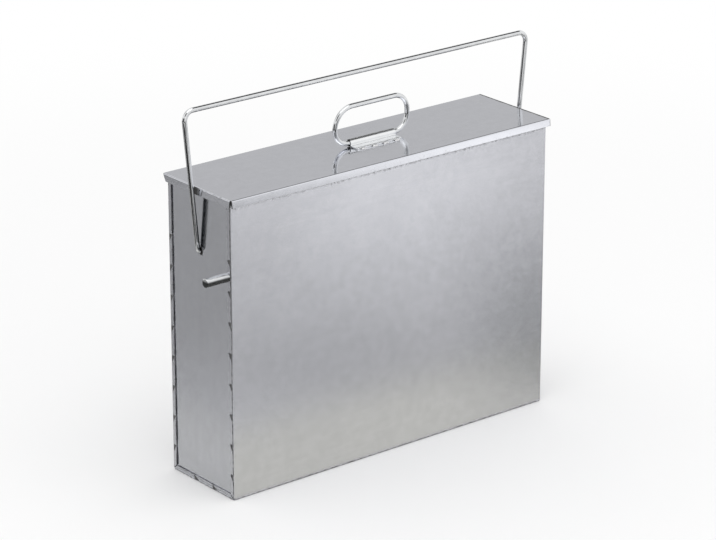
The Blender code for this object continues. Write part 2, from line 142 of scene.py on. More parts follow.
class Bench:
    """Adds and joins the nodes of one node tree."""

    def __init__(self, tree: NodeTree) -> None:
        """Start with an empty bench.

        Args:
            tree: Tree that the nodes go into.
        """
        self.tree = tree
        self.count = 0
        self.material: Material | None = None
        self.shader: Node | None = None

    @classmethod
    def for_material(cls, name: str) -> "Bench":
        """Open a new material.

        Args:
            name: Name of the material.

        Returns:
            Its bench, which keeps the material and its shader.
        """
        material = bpy.data.materials.new(name)
        material.use_nodes = True
        bench = cls(material.node_tree)
        bench.material, bench.shader = material, material.node_tree.nodes["Principled BSDF"]
        return bench

    @classmethod
    def for_group(cls, name: str, **inputs: float | Triple) -> tuple["Bench", NodeOutputs]:
        """Open a new node group.

        Args:
            name: Name of the group.
            **inputs: Default of each input, one number or three.

        Returns:
            The bench of the group and the sockets of its inputs.
        """
        bench = cls(bpy.data.node_groups.new(name, "ShaderNodeTree"))
        for label, default in inputs.items():
            kind = "NodeSocketFloat" if isinstance(default, float) else "NodeSocketVector"
            socket = bench.tree.interface.new_socket(label, in_out="INPUT", socket_type=kind)
            socket.default_value = default
        return bench, bench.add("NodeGroupInput").outputs

    def close_group(self, **outputs: NodeSocket) -> NodeTree:
        """Give a node group its outputs.

        Args:
            **outputs: Socket that each output takes its value from.

        Returns:
            The finished group.
        """
        for label in outputs:
            self.tree.interface.new_socket(label, in_out="OUTPUT", socket_type="NodeSocketFloat")
        self.add("NodeGroupOutput", **outputs)
        return self.tree

    def add(self, kind: str, *inputs: object, **named: object) -> Node:
        """Add a node.

        Args:
            kind: Node type.
            *inputs: First inputs in their order, as plain values or as sockets to join.
            **named: Properties, in small letters, and further inputs, with a capital.

        Returns:
            The new node.
        """
        node = self.tree.nodes.new(kind)
        node.location = (TREE_START + NODE_STEP * self.count, 0.0)
        self.count += 1
        for key, value in named.items():
            if key.islower():
                setattr(node, key, value)
        for socket, value in zip(node.inputs, inputs):
            self.feed(socket, value)
        for key, value in named.items():
            if not key.islower():
                self.feed(node.inputs[key], value)
        return node

    def feed(self, socket: NodeSocket, value: object) -> None:
        """Join a socket to another or give it a plain value, a colour without its alpha."""
        if isinstance(value, NodeSocket):
            self.tree.links.new(value, socket)
        else:
            socket.default_value = (*value, 1.0) if socket.type == "RGBA" else value

    def math(self, operation: str, *numbers: object) -> NodeSocket:
        """Add a calculation and return its result."""
        return self.add("ShaderNodeMath", *numbers, operation=operation).outputs[0]

    def vector(self, operation: str, first: object, second: object) -> NodeSocket:
        """Add a calculation with vectors and return its result."""
        return self.add("ShaderNodeVectorMath", first, second, operation=operation).outputs[0]

    def weigh(self, *parts: tuple[NodeSocket, float], start: float = 0.0) -> NodeSocket:
        """Add up weighted values.

        Args:
            *parts: Sockets with their weights.
            start: Number that they are added to.

        Returns:
            The sum.
        """
        total: object = start
        for socket, weight in parts:
            total = self.math("MULTIPLY_ADD", socket, weight, total)
        return total

    def remap(
        self, value: object, low: float, high: float, start: float = 0.0, end: float = 1.0
    ) -> NodeSocket:
        """Map a range smoothly onto another.

        Args:
            value: Socket to map.
            low: Value that gives start.
            high: Value that gives end.
            start: Lowest result.
            end: Highest result.

        Returns:
            The mapped socket.
        """
        limits = (low, high, start, end)
        node = self.add("ShaderNodeMapRange", value, *limits, interpolation_type="SMOOTHSTEP")
        return node.outputs["Result"]

    def blend(self, share: object, first: object, second: object, how: str = "MIX") -> NodeSocket:
        """Blend two colours.

        Args:
            share: Share of the second colour.
            first: First colour or socket.
            second: Second colour or socket.
            how: Blend type.

        Returns:
            The blended colour.
        """
        node = self.add("ShaderNodeMix", share, data_type="RGBA", blend_type=how)
        for index, value in ((6, first), (7, second)):
            self.feed(node.inputs[index], value)
        return node.outputs[2]

    def clouds(
        self, place: NodeSocket, scale: object, detail: float = 2.0, roughness: float = 0.5
    ) -> NodeSocket:
        """Add a noise pattern and return its value."""
        shape = {"Scale": scale, "Detail": detail, "Roughness": roughness}
        return self.add("ShaderNodeTexNoise", Vector=place, **shape).outputs["Fac"]

    def stored(self, name: str) -> Node:
        """Read an attribute that is stored on the vertices."""
        return self.add("ShaderNodeAttribute", attribute_name=name)

    def effect(self, group: NodeTree, **values: object) -> NodeOutputs:
        """Place a shared effect and return its outputs."""
        return self.add("ShaderNodeGroup", node_tree=group, **values).outputs

    def coat(self, colour: object, roughness: object, metallic: object, height: object) -> Material:
        """Dress the material's shader.

        Args:
            colour: Base colour.
            roughness: Roughness.
            metallic: Share of bare metal.
            height: Relief of the surface in metres.

        Returns:
            The finished material.
        """
        bump = self.add("ShaderNodeBump", Height=height, Strength=1.0, Distance=1.0).outputs[0]
        looks = {"Base Color": colour, "Roughness": roughness, "Metallic": metallic, "Normal": bump}
        for label, value in looks.items():
            self.feed(self.shader.inputs[label], value)
        return self.material

    def show_mix(self, share: object, first: Node, second: Node) -> None:
        """Send a mix of two shaders to the tree's output.

        Args:
            share: Share of the second shader.
            first: Node of the first shader.
            second: Node of the second shader.
        """
        mixed = self.add("ShaderNodeMixShader", share, first.outputs[0], second.outputs[0])
        output = next(node for node in self.tree.nodes if "Surface" in node.inputs)
        self.feed(output.inputs["Surface"], mixed.outputs[0])


class Effects:
    """Shared surface effects, each built once as a node group."""

    def __init__(self) -> None:
        """Build all the groups."""
        self.spangle = self.build_spangle()
        self.mill_lines = self.build_mill_lines()
        self.handling = self.build_handling()
        self.grime_and_shade_mask = self.build_grime_and_shade_mask()
        self.draw_lines = self.build_draw_lines()

    @staticmethod
    def build_spangle() -> NodeTree:
        """Make the crystal pattern of hot-dipped zinc.

        Returns:
            Group with a tone and a relief output.
        """
        bench, given = Bench.for_group("zinc_spangle", Vector=ORIGIN, Density=150.0)
        warp = bench.add("ShaderNodeTexNoise", Vector=given["Vector"], Scale=90.0, Detail=1.0)
        shift = bench.vector("MULTIPLY", warp.outputs["Color"], (0.003, 0.003, 0.003))
        bent = bench.vector("ADD", given["Vector"], shift)
        crystals = bench.remap(bench.clouds(bent, given["Density"], detail=1.0), low=0.28, high=0.72)
        frost = bench.clouds(bent, scale=190.0)
        tone = bench.weigh((crystals, 0.6), (frost, 0.4))
        return bench.close_group(Tone=tone, Relief=bench.clouds(bent, scale=210.0))

    @staticmethod
    def build_mill_lines() -> NodeTree:
        """Make the fine lines that rolls leave on a sheet.

        Returns:
            Group with a lines output.
        """
        bench, given = Bench.for_group("mill_lines", Vector=ORIGIN, Stretch=ONES)
        drawn = bench.vector("MULTIPLY", given["Vector"], given["Stretch"])
        coarse = bench.clouds(drawn, scale=1.0, detail=3.0, roughness=0.6)
        fine = bench.clouds(drawn, scale=3.7)
        lines = bench.weigh((coarse, 0.6), (fine, 0.4))
        return bench.close_group(Lines=bench.remap(lines, low=0.32, high=0.68))

    @staticmethod
    def build_handling() -> NodeTree:
        """Make the smudges and the slight waves of handled thin metal.

        Returns:
            Group with a smudge, a scuff and a wave output.
        """
        bench, given = Bench.for_group("handling_marks", Vector=ORIGIN, Seed=ORIGIN, Stretch=ONES)
        moved = bench.vector("ADD", given["Vector"], given["Seed"])
        drawn = bench.vector("MULTIPLY", moved, given["Stretch"])
        broad = bench.clouds(moved, scale=8.0, detail=3.0, roughness=0.55)
        patchy = bench.clouds(moved, scale=31.0, detail=4.0, roughness=0.6)
        smudge = bench.remap(bench.weigh((broad, 0.65), (patchy, 0.35)), low=0.36, high=0.66)
        hair = bench.remap(bench.clouds(drawn, scale=12.0, detail=1.0, roughness=0.4), low=0.63, high=0.72)
        where = bench.remap(bench.clouds(moved, scale=14.0), low=0.5, high=0.7)
        scuff = bench.math("MULTIPLY", hair, where)
        wave = bench.clouds(moved, scale=9.0, detail=1.0, roughness=0.4)
        return bench.close_group(Smudge=smudge, Scuff=scuff, Wave=wave)

    @staticmethod
    def build_grime_and_shade_mask() -> NodeTree:
        """Break up the dirt, scale and painted shade of seams, folds, gaps and cut edges.

        Returns:
            Group with a mask output.
        """
        bench, given = Bench.for_group("grime_and_shade_mask", Vector=ORIGIN, Amount=0.0)
        ragged = bench.clouds(given["Vector"], scale=260.0, detail=4.0, roughness=0.65)
        broken = bench.weigh((ragged, 0.9), (given["Amount"], 1.0), start=-0.5)
        painted = bench.remap(given["Amount"], low=0.0, high=0.08)
        mask = bench.math("MULTIPLY", bench.remap(broken, low=0.12, high=0.75), painted)
        return bench.close_group(Mask=mask)

    @staticmethod
    def build_draw_lines() -> NodeTree:
        """Make the lengthwise lines and blotches of drawn wire and bar.

        Returns:
            Group with a lines and a blotch output.
        """
        bench, given = Bench.for_group("draw_lines", Stock=ORIGIN)
        drawn = bench.vector("MULTIPLY", given["Stock"], (900.0, 900.0, 14.0))
        lines = bench.clouds(drawn, scale=1.0, detail=3.0, roughness=0.6)
        blotch = bench.clouds(given["Stock"], scale=120.0, detail=3.0, roughness=0.55)
        return bench.close_group(
            Lines=bench.remap(lines, low=0.3, high=0.7), Blotch=bench.remap(blotch, low=0.35, high=0.7)
        )


@dataclass(frozen=True)
class SheetFinish:
    """Galvanised sheet steel."""

    name: str
    dull: Triple
    bright: Triple
    roughness: float
    density: float
    run: MillRun
    seed: Triple
    # Dark colour of the seam dirt and of the painted shade.
    shade_and_grime: Triple = (0.035, 0.034, 0.033)
    roughness_span: float = 0.05
    grime_and_shade_roughness: float = 0.3
    grime_and_shade_cover: float = 0.6
    spangle_height: float = 0.000003
    line_height: float = 0.0000006
    wave_height: float = 0.00012

    def material(self, effects: Effects) -> Material:
        """Make the material.

        Args:
            effects: Shared effects to place in it.

        Returns:
            The finished material.
        """
        bench = Bench.for_material(self.name)
        place = bench.add("ShaderNodeTexCoord").outputs["Object"]
        amount = bench.stored(GRIME_AND_SHADE).outputs["Fac"]
        run, span = self.run.value, self.roughness_span
        spangle = bench.effect(effects.spangle, Vector=place, Density=self.density)
        lines = bench.effect(effects.mill_lines, Vector=place, Stretch=run)["Lines"]
        marks = bench.effect(effects.handling, Vector=place, Seed=self.seed, Stretch=run)
        grime_and_shade = bench.effect(effects.grime_and_shade_mask, Vector=place, Amount=amount)["Mask"]
        tone = bench.weigh((lines, 0.25), (spangle["Tone"], 0.5), (marks["Smudge"], 0.25))
        zinc = bench.blend(tone, self.dull, self.bright)
        roughness = bench.weigh(
            (marks["Smudge"], -span),
            (spangle["Tone"], span / 2),
            (marks["Scuff"], span / 5),
            (grime_and_shade, self.grime_and_shade_roughness),
            start=self.roughness + span / 2,
        )
        bare = bench.weigh((grime_and_shade, -self.grime_and_shade_cover), start=1.0)
        height = bench.weigh(
            (spangle["Relief"], self.spangle_height),
            (lines, self.line_height),
            (marks["Wave"], self.wave_height),
        )
        # Seam dirt and painted shade darken and dull the zinc.
        return bench.coat(bench.blend(grime_and_shade, zinc, self.shade_and_grime), roughness, bare, height)


@dataclass(frozen=True)
class DrawnFinish:
    """Drawn wire or bar with a bright plated skin, darkened by the painted shade and painted dark
    reflections stored on its vertices, and by painted shade on its lower half when set.
    """

    name: str
    dull: Triple
    bright: Triple
    roughness: float
    roughness_span: float
    line_height: float
    # Share of the colour kept at the bottom of a bar, as painted shade; 1 paints no shade.
    underside_shade: float = 1.0
    shade_start: float = 0.0006
    shade_end: float = 0.0026

    def material(self, effects: Effects) -> Material:
        """Make the material.

        Args:
            effects: Shared effects to place in it.

        Returns:
            The finished material.
        """
        bench = Bench.for_material(self.name)
        stock = bench.stored(STOCK).outputs["Vector"]
        shade_and_grime = bench.stored(GRIME_AND_SHADE).outputs["Fac"]
        drawn = bench.effect(effects.draw_lines, Stock=stock)
        tone = bench.weigh((drawn["Lines"], 0.5), (drawn["Blotch"], 0.5))
        # The stored amount is painted shade and painted dark reflection, blended towards the dark colour.
        skin = bench.blend(shade_and_grime, bench.blend(tone, self.dull, self.bright), PAINTED_SHADE)
        # Painted shade darkens the lower half of the bar.
        if self.underside_shade < 1.0:
            rise = bench.add("ShaderNodeSeparateXYZ", stock).outputs["Y"]
            shade = bench.remap(rise, self.shade_start, self.shade_end, start=self.underside_shade)
            skin = bench.blend(1.0, skin, shade, "MULTIPLY")
        roughness = bench.weigh((drawn["Blotch"], self.roughness_span), start=self.roughness)
        return bench.coat(skin, roughness, 1.0, bench.weigh((drawn["Lines"], self.line_height)))


@dataclass(frozen=True)
class ScorchedFinish:
    """Weld or solder metal, with scale and heat tints."""

    name: str
    clean: Triple
    scale: Triple
    roughness: float
    metallic: float
    coverage: float
    seed: Triple = (0.7, 0.2, 0.4)
    crust_roughness: float = 0.3
    ripple_height: float = 0.00008

    def material(self, effects: Effects) -> Material:
        """Make the material.

        Args:
            effects: Shared effects to place in it.

        Returns:
            The finished material.
        """
        bench = Bench.for_material(self.name)
        place = bench.add("ShaderNodeTexCoord").outputs["Object"]
        smudge = bench.effect(effects.handling, Vector=place, Seed=self.seed)["Smudge"]
        # Here the mask spreads only the scale and heat tint of the metal.
        grime_and_shade = bench.effect(effects.grime_and_shade_mask, Vector=place, Amount=self.coverage)["Mask"]
        crust = bench.weigh((smudge, 0.25), (grime_and_shade, 0.75))
        roughness = bench.weigh((crust, self.crust_roughness), start=self.roughness)
        ripple = bench.weigh((bench.clouds(place, scale=900.0), self.ripple_height))
        return bench.coat(bench.blend(crust, self.clean, self.scale), roughness, self.metallic, ripple)


BODY_SHEET = SheetFinish(
    name="galvanised_body_sheet",
    dull=(0.647, 0.654, 0.692),
    bright=(0.731, 0.738, 0.782),
    roughness=0.21,
    density=110.0,
    run=MillRun.ALONG_X,
    seed=ORIGIN,
)
# Same galvanised sheet as the body's, its colours set a little lighter: painted light on the end panels.
END_SHEET = SheetFinish(
    name="galvanised_end_sheet",
    dull=(0.655, 0.664, 0.702),
    bright=(0.738, 0.750, 0.793),
    roughness=0.13,
    density=110.0,
    run=MillRun.ALONG_Z,
    seed=(0.31, 0.12, 0.05),
)
LID_SHEET = SheetFinish(
    name="galvanised_lid_sheet",
    dull=(0.690, 0.700, 0.742),
    bright=(0.757, 0.768, 0.815),
    roughness=0.10,
    density=120.0,
    run=MillRun.ALONG_X,
    seed=(0.53, 0.27, 0.11),
)
CLIP_STRIP = SheetFinish(
    name="bright_clip_strip",
    dull=(0.82, 0.83, 0.84),
    bright=(0.92, 0.93, 0.94),
    roughness=0.12,
    density=260.0,
    run=MillRun.ALONG_X,
    seed=(0.77, 0.41, 0.23),
    wave_height=0.00004,
)
BRIGHT_WIRE = DrawnFinish(
    name="bright_drawn_wire",
    dull=(0.66, 0.67, 0.68),
    bright=(0.80, 0.81, 0.82),
    roughness=0.05,
    roughness_span=0.06,
    line_height=0.0000008,
)
PIN_BAR = DrawnFinish(
    name="zinc_plated_bar",
    dull=(0.60, 0.61, 0.62),
    bright=(0.78, 0.79, 0.80),
    roughness=0.10,
    roughness_span=0.10,
    line_height=0.0000020,
    # Painted shade on the lower half of the bar.
    underside_shade=0.10,
)
WELD_METAL = ScorchedFinish(
    name="scorched_weld",
    clean=(0.84, 0.84, 0.85),
    scale=(0.420, 0.415, 0.410),
    roughness=0.26,
    metallic=0.60,
    coverage=0.12,
)
SEAM_SOLDER = ScorchedFinish(
    name="stained_seam_solder",
    clean=(0.30, 0.30, 0.30),
    scale=(0.080, 0.078, 0.076),
    roughness=0.42,
    metallic=0.7,
    coverage=0.60,
)


def clamp(value: float) -> float:
    """Keep a value between 0 and 1."""
    return min(1.0, max(0.0, value))


def wobble(place: Vector, scale: float, seed: float) -> float:
    """Return a smooth value between -1 and 1 for a place."""
    return noise.noise(place * scale + Vector((seed, 0.37 * seed, 1.71 * seed)))


def arc(centre: Vector, radius: float, start: float, end: float, steps: int) -> list[Vector]:
    """Return the points of an arc in a plane, both ends included."""
    angles = [start + (end - start) * index / steps for index in range(steps + 1)]
    return [centre + radius * Vector((math.cos(angle), math.sin(angle))) for angle in angles]


def verts_in(geom: Iterable[object]) -> list[BMVert]:
    """Return the vertices among the parts of a mesh."""
    return [item for item in geom if isinstance(item, BMVert)]


def edges_in(geom: Iterable[object]) -> list[BMEdge]:
    """Return the edges among the parts of a mesh."""
    return [item for item in geom if isinstance(item, BMEdge)]


def round_off(bm: BMesh, parts: list, width: float, segments: int, affect: str = "EDGES") -> None:
    """Round off edges or corners.

    Args:
        bm: The mesh.
        parts: Its edges or corners.
        width: Width of the rounding.
        segments: Number of strips in it.
        affect: Kind of the parts, as the bevel operator names it.
    """
    bmesh.ops.bevel(
        bm,
        geom=parts,
        offset=width,
        segments=segments,
        profile=0.5,
        affect=affect,
        material=-1,
        clamp_overlap=True,
    )


def new_piece(name: str, bm: BMesh) -> Object:
    """Turn a bmesh into an object at the origin.

    Args:
        name: Name of the piece.
        bm: Its mesh, which is freed.

    Returns:
        The new object.
    """
    mesh = bpy.data.meshes.new(name)
    bm.to_mesh(mesh)
    bm.free()
    mesh.shade_smooth()
    mesh.set_sharp_from_angle(angle=CREASE)
    piece = bpy.data.objects.new(name, mesh)
    bpy.context.scene.collection.objects.link(piece)
    return piece


def deliver(piece: Object, material: Material, body: Body, slot: Slot, *nodes: str) -> None:
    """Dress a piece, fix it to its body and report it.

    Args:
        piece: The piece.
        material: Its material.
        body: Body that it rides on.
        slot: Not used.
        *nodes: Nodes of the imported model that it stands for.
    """
    piece.data.materials.append(material)
    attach(piece, body.value)
    if nodes:
        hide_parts(*nodes)
    count = len(piece.data.vertices)
    LOG.info("%s: %d vertices, %s, rides on %s", piece.name, count, material.name, body.value)


class SheetWork:
    """A surface that is swept, folded and cut like sheet metal."""

    def __init__(self, fold_steps: int = 6) -> None:
        """Start with an empty sheet.

        Args:
            fold_steps: Number of strips in a fold of a quarter turn.
        """
        self.bm = bmesh.new()
        self.grime_and_shade = self.bm.verts.layers.float.new(GRIME_AND_SHADE)
        self.fold_steps = fold_steps

    def lay(self, points: Iterable[Sequence[float]], shift: Vector) -> None:
        """Sweep a line into a sheet.

        Args:
            points: Places along the line.
            shift: Way that the line is swept.
        """
        verts = [self.bm.verts.new(point) for point in points]
        self.sweep([self.bm.edges.new(pair) for pair in zip(verts, verts[1:])], shift)

    def sweep(self, edges: list[BMEdge], shift: Vector) -> list[BMVert]:
        """Extrude edges along a shift.

        Args:
            edges: Edges to extrude.
            shift: Way that they move.

        Returns:
            The moved vertices.
        """
        verts = verts_in(bmesh.ops.extrude_edge_only(self.bm, edges=edges)["geom"])
        bmesh.ops.translate(self.bm, verts=verts, vec=shift)
        return verts

    def face_at(self, point: Vector) -> BMFace:
        """Return the face whose middle lies nearest to a point."""
        return min(self.bm.faces, key=lambda face: (face.calc_center_median() - point).length)

    def fold(
        self, point: Vector, centre: Vector, axis: Vector, angle: float, lean: Vector, width: float
    ) -> list[BMVert]:
        """Turn an edge over a fold arc into a flat flange.

        Args:
            point: Middle of the edge to turn.
            centre: A point on the fold's axis.
            axis: Direction of the fold's axis.
            angle: Turn of the fold.
            lean: Direction of the flange.
            width: Width of the flange past the arc.

        Returns:
            The vertices of the free edge.
        """
        edge = min(
            self.bm.edges, key=lambda item: ((item.verts[0].co + item.verts[1].co) / 2 - point).length
        )
        steps = max(2, round(self.fold_steps * abs(angle) / QUARTER))
        geom = [edge, *edge.verts]
        turned = bmesh.ops.spin(self.bm, geom=geom, cent=centre, axis=axis, angle=angle, steps=steps)
        return self.sweep(edges_in(turned["geom_last"]), lean * width)

    def score(self, axis: Vector, *places: float) -> None:
        """Divide the whole sheet across an axis at some places, without cutting it apart."""
        for place in places:
            geom = [*self.bm.verts, *self.bm.edges, *self.bm.faces]
            bmesh.ops.bisect_plane(self.bm, geom=geom, dist=TOUCHING, plane_co=axis * place, plane_no=axis)

    def punch(self, centre: Vector, radius: float, segments: int, margin: float = 1.8) -> None:
        """Punch a round hole along X into a flat part of the sheet.

        Args:
            centre: Middle of the hole.
            radius: Radius of the hole.
            segments: Number of sides, a multiple of four.
            margin: Half width of the square round the hole, in radii.
        """
        for axis in (AXIS_Y, AXIS_Z):
            self.score(axis, *(centre.dot(axis) + side * radius * margin for side in SIDES))
        patch = self.face_at(centre)
        border = list(patch.edges)
        bmesh.ops.delete(self.bm, geom=[patch], context="FACES_ONLY")
        split = bmesh.ops.subdivide_edges(self.bm, edges=border, cuts=segments // 4 - 1)
        turn = AXIS_X.to_track_quat("Z", "Y").to_matrix().to_4x4()
        ring = bmesh.ops.create_circle(
            self.bm,
            cap_ends=False,
            segments=segments,
            radius=radius,
            matrix=Matrix.Translation(centre) @ turn @ Matrix.Rotation(QUARTER / 2, 4, "Z"),
        )["verts"]
        edges = {edge for vert in ring for edge in vert.link_edges}
        bmesh.ops.bridge_loops(self.bm, edges=[*edges_in(split["geom"]), *edges])

    def face_towards(self, point: Vector, direction: Vector) -> None:
        """Make the faces agree, with the face nearest to a point looking along a direction."""
        bmesh.ops.recalc_face_normals(self.bm, faces=self.bm.faces)
        if self.face_at(point).normal.dot(direction) < 0.0:
            bmesh.ops.reverse_faces(self.bm, faces=self.bm.faces)

    def finish(
        self,
        name: str,
        grime_and_shade: Callable[[Vector], float],
        thickness: float,
        edge: float,
        offset: float = -1.0,
    ) -> Object:
        """Give the sheet its seam dirt and painted shade, its thickness and softly broken edges.

        Args:
            name: Name of the piece.
            grime_and_shade: Amount of seam dirt and painted shade at a place.
            thickness: Thickness of the sheet.
            edge: Width of the broken edges.
            offset: Side on which the thickness is added, from -1 to 1.

        Returns:
            The finished piece.
        """
        for vert in self.bm.verts:
            vert[self.grime_and_shade] = grime_and_shade(vert.co)
        piece = new_piece(name, self.bm)
        solid = piece.modifiers.new("thickness", "SOLIDIFY")
        solid.thickness = thickness
        solid.offset = offset
        solid.use_even_offset = True
        solid.use_rim = True
        bevel = piece.modifiers.new("broken_edges", "BEVEL")
        bevel.width = edge
        bevel.segments = 2
        bevel.limit_method = "ANGLE"
        bevel.angle_limit = HARD_EDGE
        weigh = piece.modifiers.new("flat_faces", "WEIGHTED_NORMAL")
        weigh.keep_sharp = True
        return piece


class WireWork:
    """Round wire that is run straight and bent, with its stock coordinates kept on its vertices."""

    def __init__(self, start: Vector, heading: Vector, radius: float, sides: int) -> None:
        """Start with the wire's first ring.

        Args:
            start: Middle of the ring.
            heading: Direction in which the wire leaves.
            radius: Radius of the wire.
            sides: Number of sides.
        """
        self.bm = bmesh.new()
        self.stock = self.bm.verts.layers.float_vector.new(STOCK)
        self.place = start.copy()
        self.heading = heading.normalized()
        self.length = 0.0
        turn = self.heading.to_track_quat("Z", "Y").to_matrix().to_4x4()
        matrix = Matrix.Translation(start) @ turn
        circle = bmesh.ops.create_circle(
            self.bm, cap_ends=False, segments=sides, radius=radius, matrix=matrix
        )["verts"]
        for index, vert in enumerate(circle):
            angle = 2 * math.pi * index / sides
            vert[self.stock] = Vector((radius * math.cos(angle), radius * math.sin(angle), 0.0))
        self.ring = list({edge for vert in circle for edge in vert.link_edges})

    def pass_on(self, verts: Iterable[BMVert], length: float) -> None:
        """Count a length of wire and store the sum at new vertices."""
        self.length += length
        for vert in verts:
            vert[self.stock] = Vector((*vert[self.stock].xy, self.length))

    def run(self, length: float, step: float) -> None:
        """Run the wire straight.

        Args:
            length: Length of the run.
            step: Greatest distance between rings.
        """
        count = max(1, math.ceil(length / step))
        for _ in range(count):
            grown = bmesh.ops.extrude_edge_only(self.bm, edges=self.ring)["geom"]
            verts = verts_in(grown)
            bmesh.ops.translate(self.bm, verts=verts, vec=self.heading * (length / count))
            self.pass_on(verts, length / count)
            self.ring = [edge for edge in edges_in(grown) if all(vert in verts for vert in edge.verts)]
        self.place += self.heading * length

    def bend(self, onward: Vector, radius: float, steps: int) -> None:
        """Bend the wire into a new direction.

        Args:
            onward: Direction after the bend.
            radius: Radius of the wire's middle line.
            steps: Number of rings in the bend.
        """
        axis = self.heading.cross(onward).normalized()
        angle = self.heading.angle(onward)
        centre = self.place + axis.cross(self.heading) * radius
        for _ in range(steps):
            geom = [*{vert for edge in self.ring for vert in edge.verts}, *self.ring]
            turned = bmesh.ops.spin(
                self.bm, geom=geom, cent=centre, axis=axis, angle=angle / steps, steps=1
            )["geom_last"]
            self.pass_on(verts_in(turned), radius * angle / steps)
            self.ring = edges_in(turned)
        self.place = centre + Matrix.Rotation(angle, 3, axis) @ (self.place - centre)
        self.heading = onward.normalized()

    def follow(self, corners: Sequence[Vector], radii: Sequence[float], step: float, steps: int) -> None:
        """Follow a path of straight runs with rounded corners from the wire's present place.

        Args:
            corners: Corners of the path, the last one being its end.
            radii: Bend radius at each corner but the last.
            step: Greatest distance between rings on a run.
            steps: Number of rings in a bend.
        """
        for corner, after, radius in zip(corners, corners[1:], radii):
            onward = (after - corner).normalized()
            cut_back = radius * math.tan(self.heading.angle(onward) / 2)
            self.run((corner - self.place).length - cut_back, step)
            self.bend(onward, radius, steps)
        self.run((corners[-1] - self.place).length, step)

    def close(self) -> None:
        """Join the last ring to the first one."""
        bmesh.ops.remove_doubles(self.bm, verts=self.bm.verts, dist=TOUCHING)

    def cap(self, chamfer: float) -> None:
        """Close both ends and break their edges.

        Args:
            chamfer: Width of the broken edge.
        """
        rims = [edge for edge in self.bm.edges if edge.is_boundary]
        bmesh.ops.holes_fill(self.bm, edges=rims, sides=0)
        round_off(self.bm, rims, chamfer, segments=3)

    def finish(self, name: str, shade_and_grime: Callable[[Vector, Vector], float]) -> Object:
        """Give the wire its painted shade and painted dark reflections.

        Args:
            name: Name of the piece.
            shade_and_grime: Amount of painted shade at a place that looks outward in a direction.

        Returns:
            The finished piece.
        """
        bmesh.ops.recalc_face_normals(self.bm, faces=self.bm.faces)
        self.bm.normal_update()
        layer = self.bm.verts.layers.float.new(GRIME_AND_SHADE)
        for vert in self.bm.verts:
            vert[layer] = shade_and_grime(vert.co, vert.normal)
        return new_piece(name, self.bm)


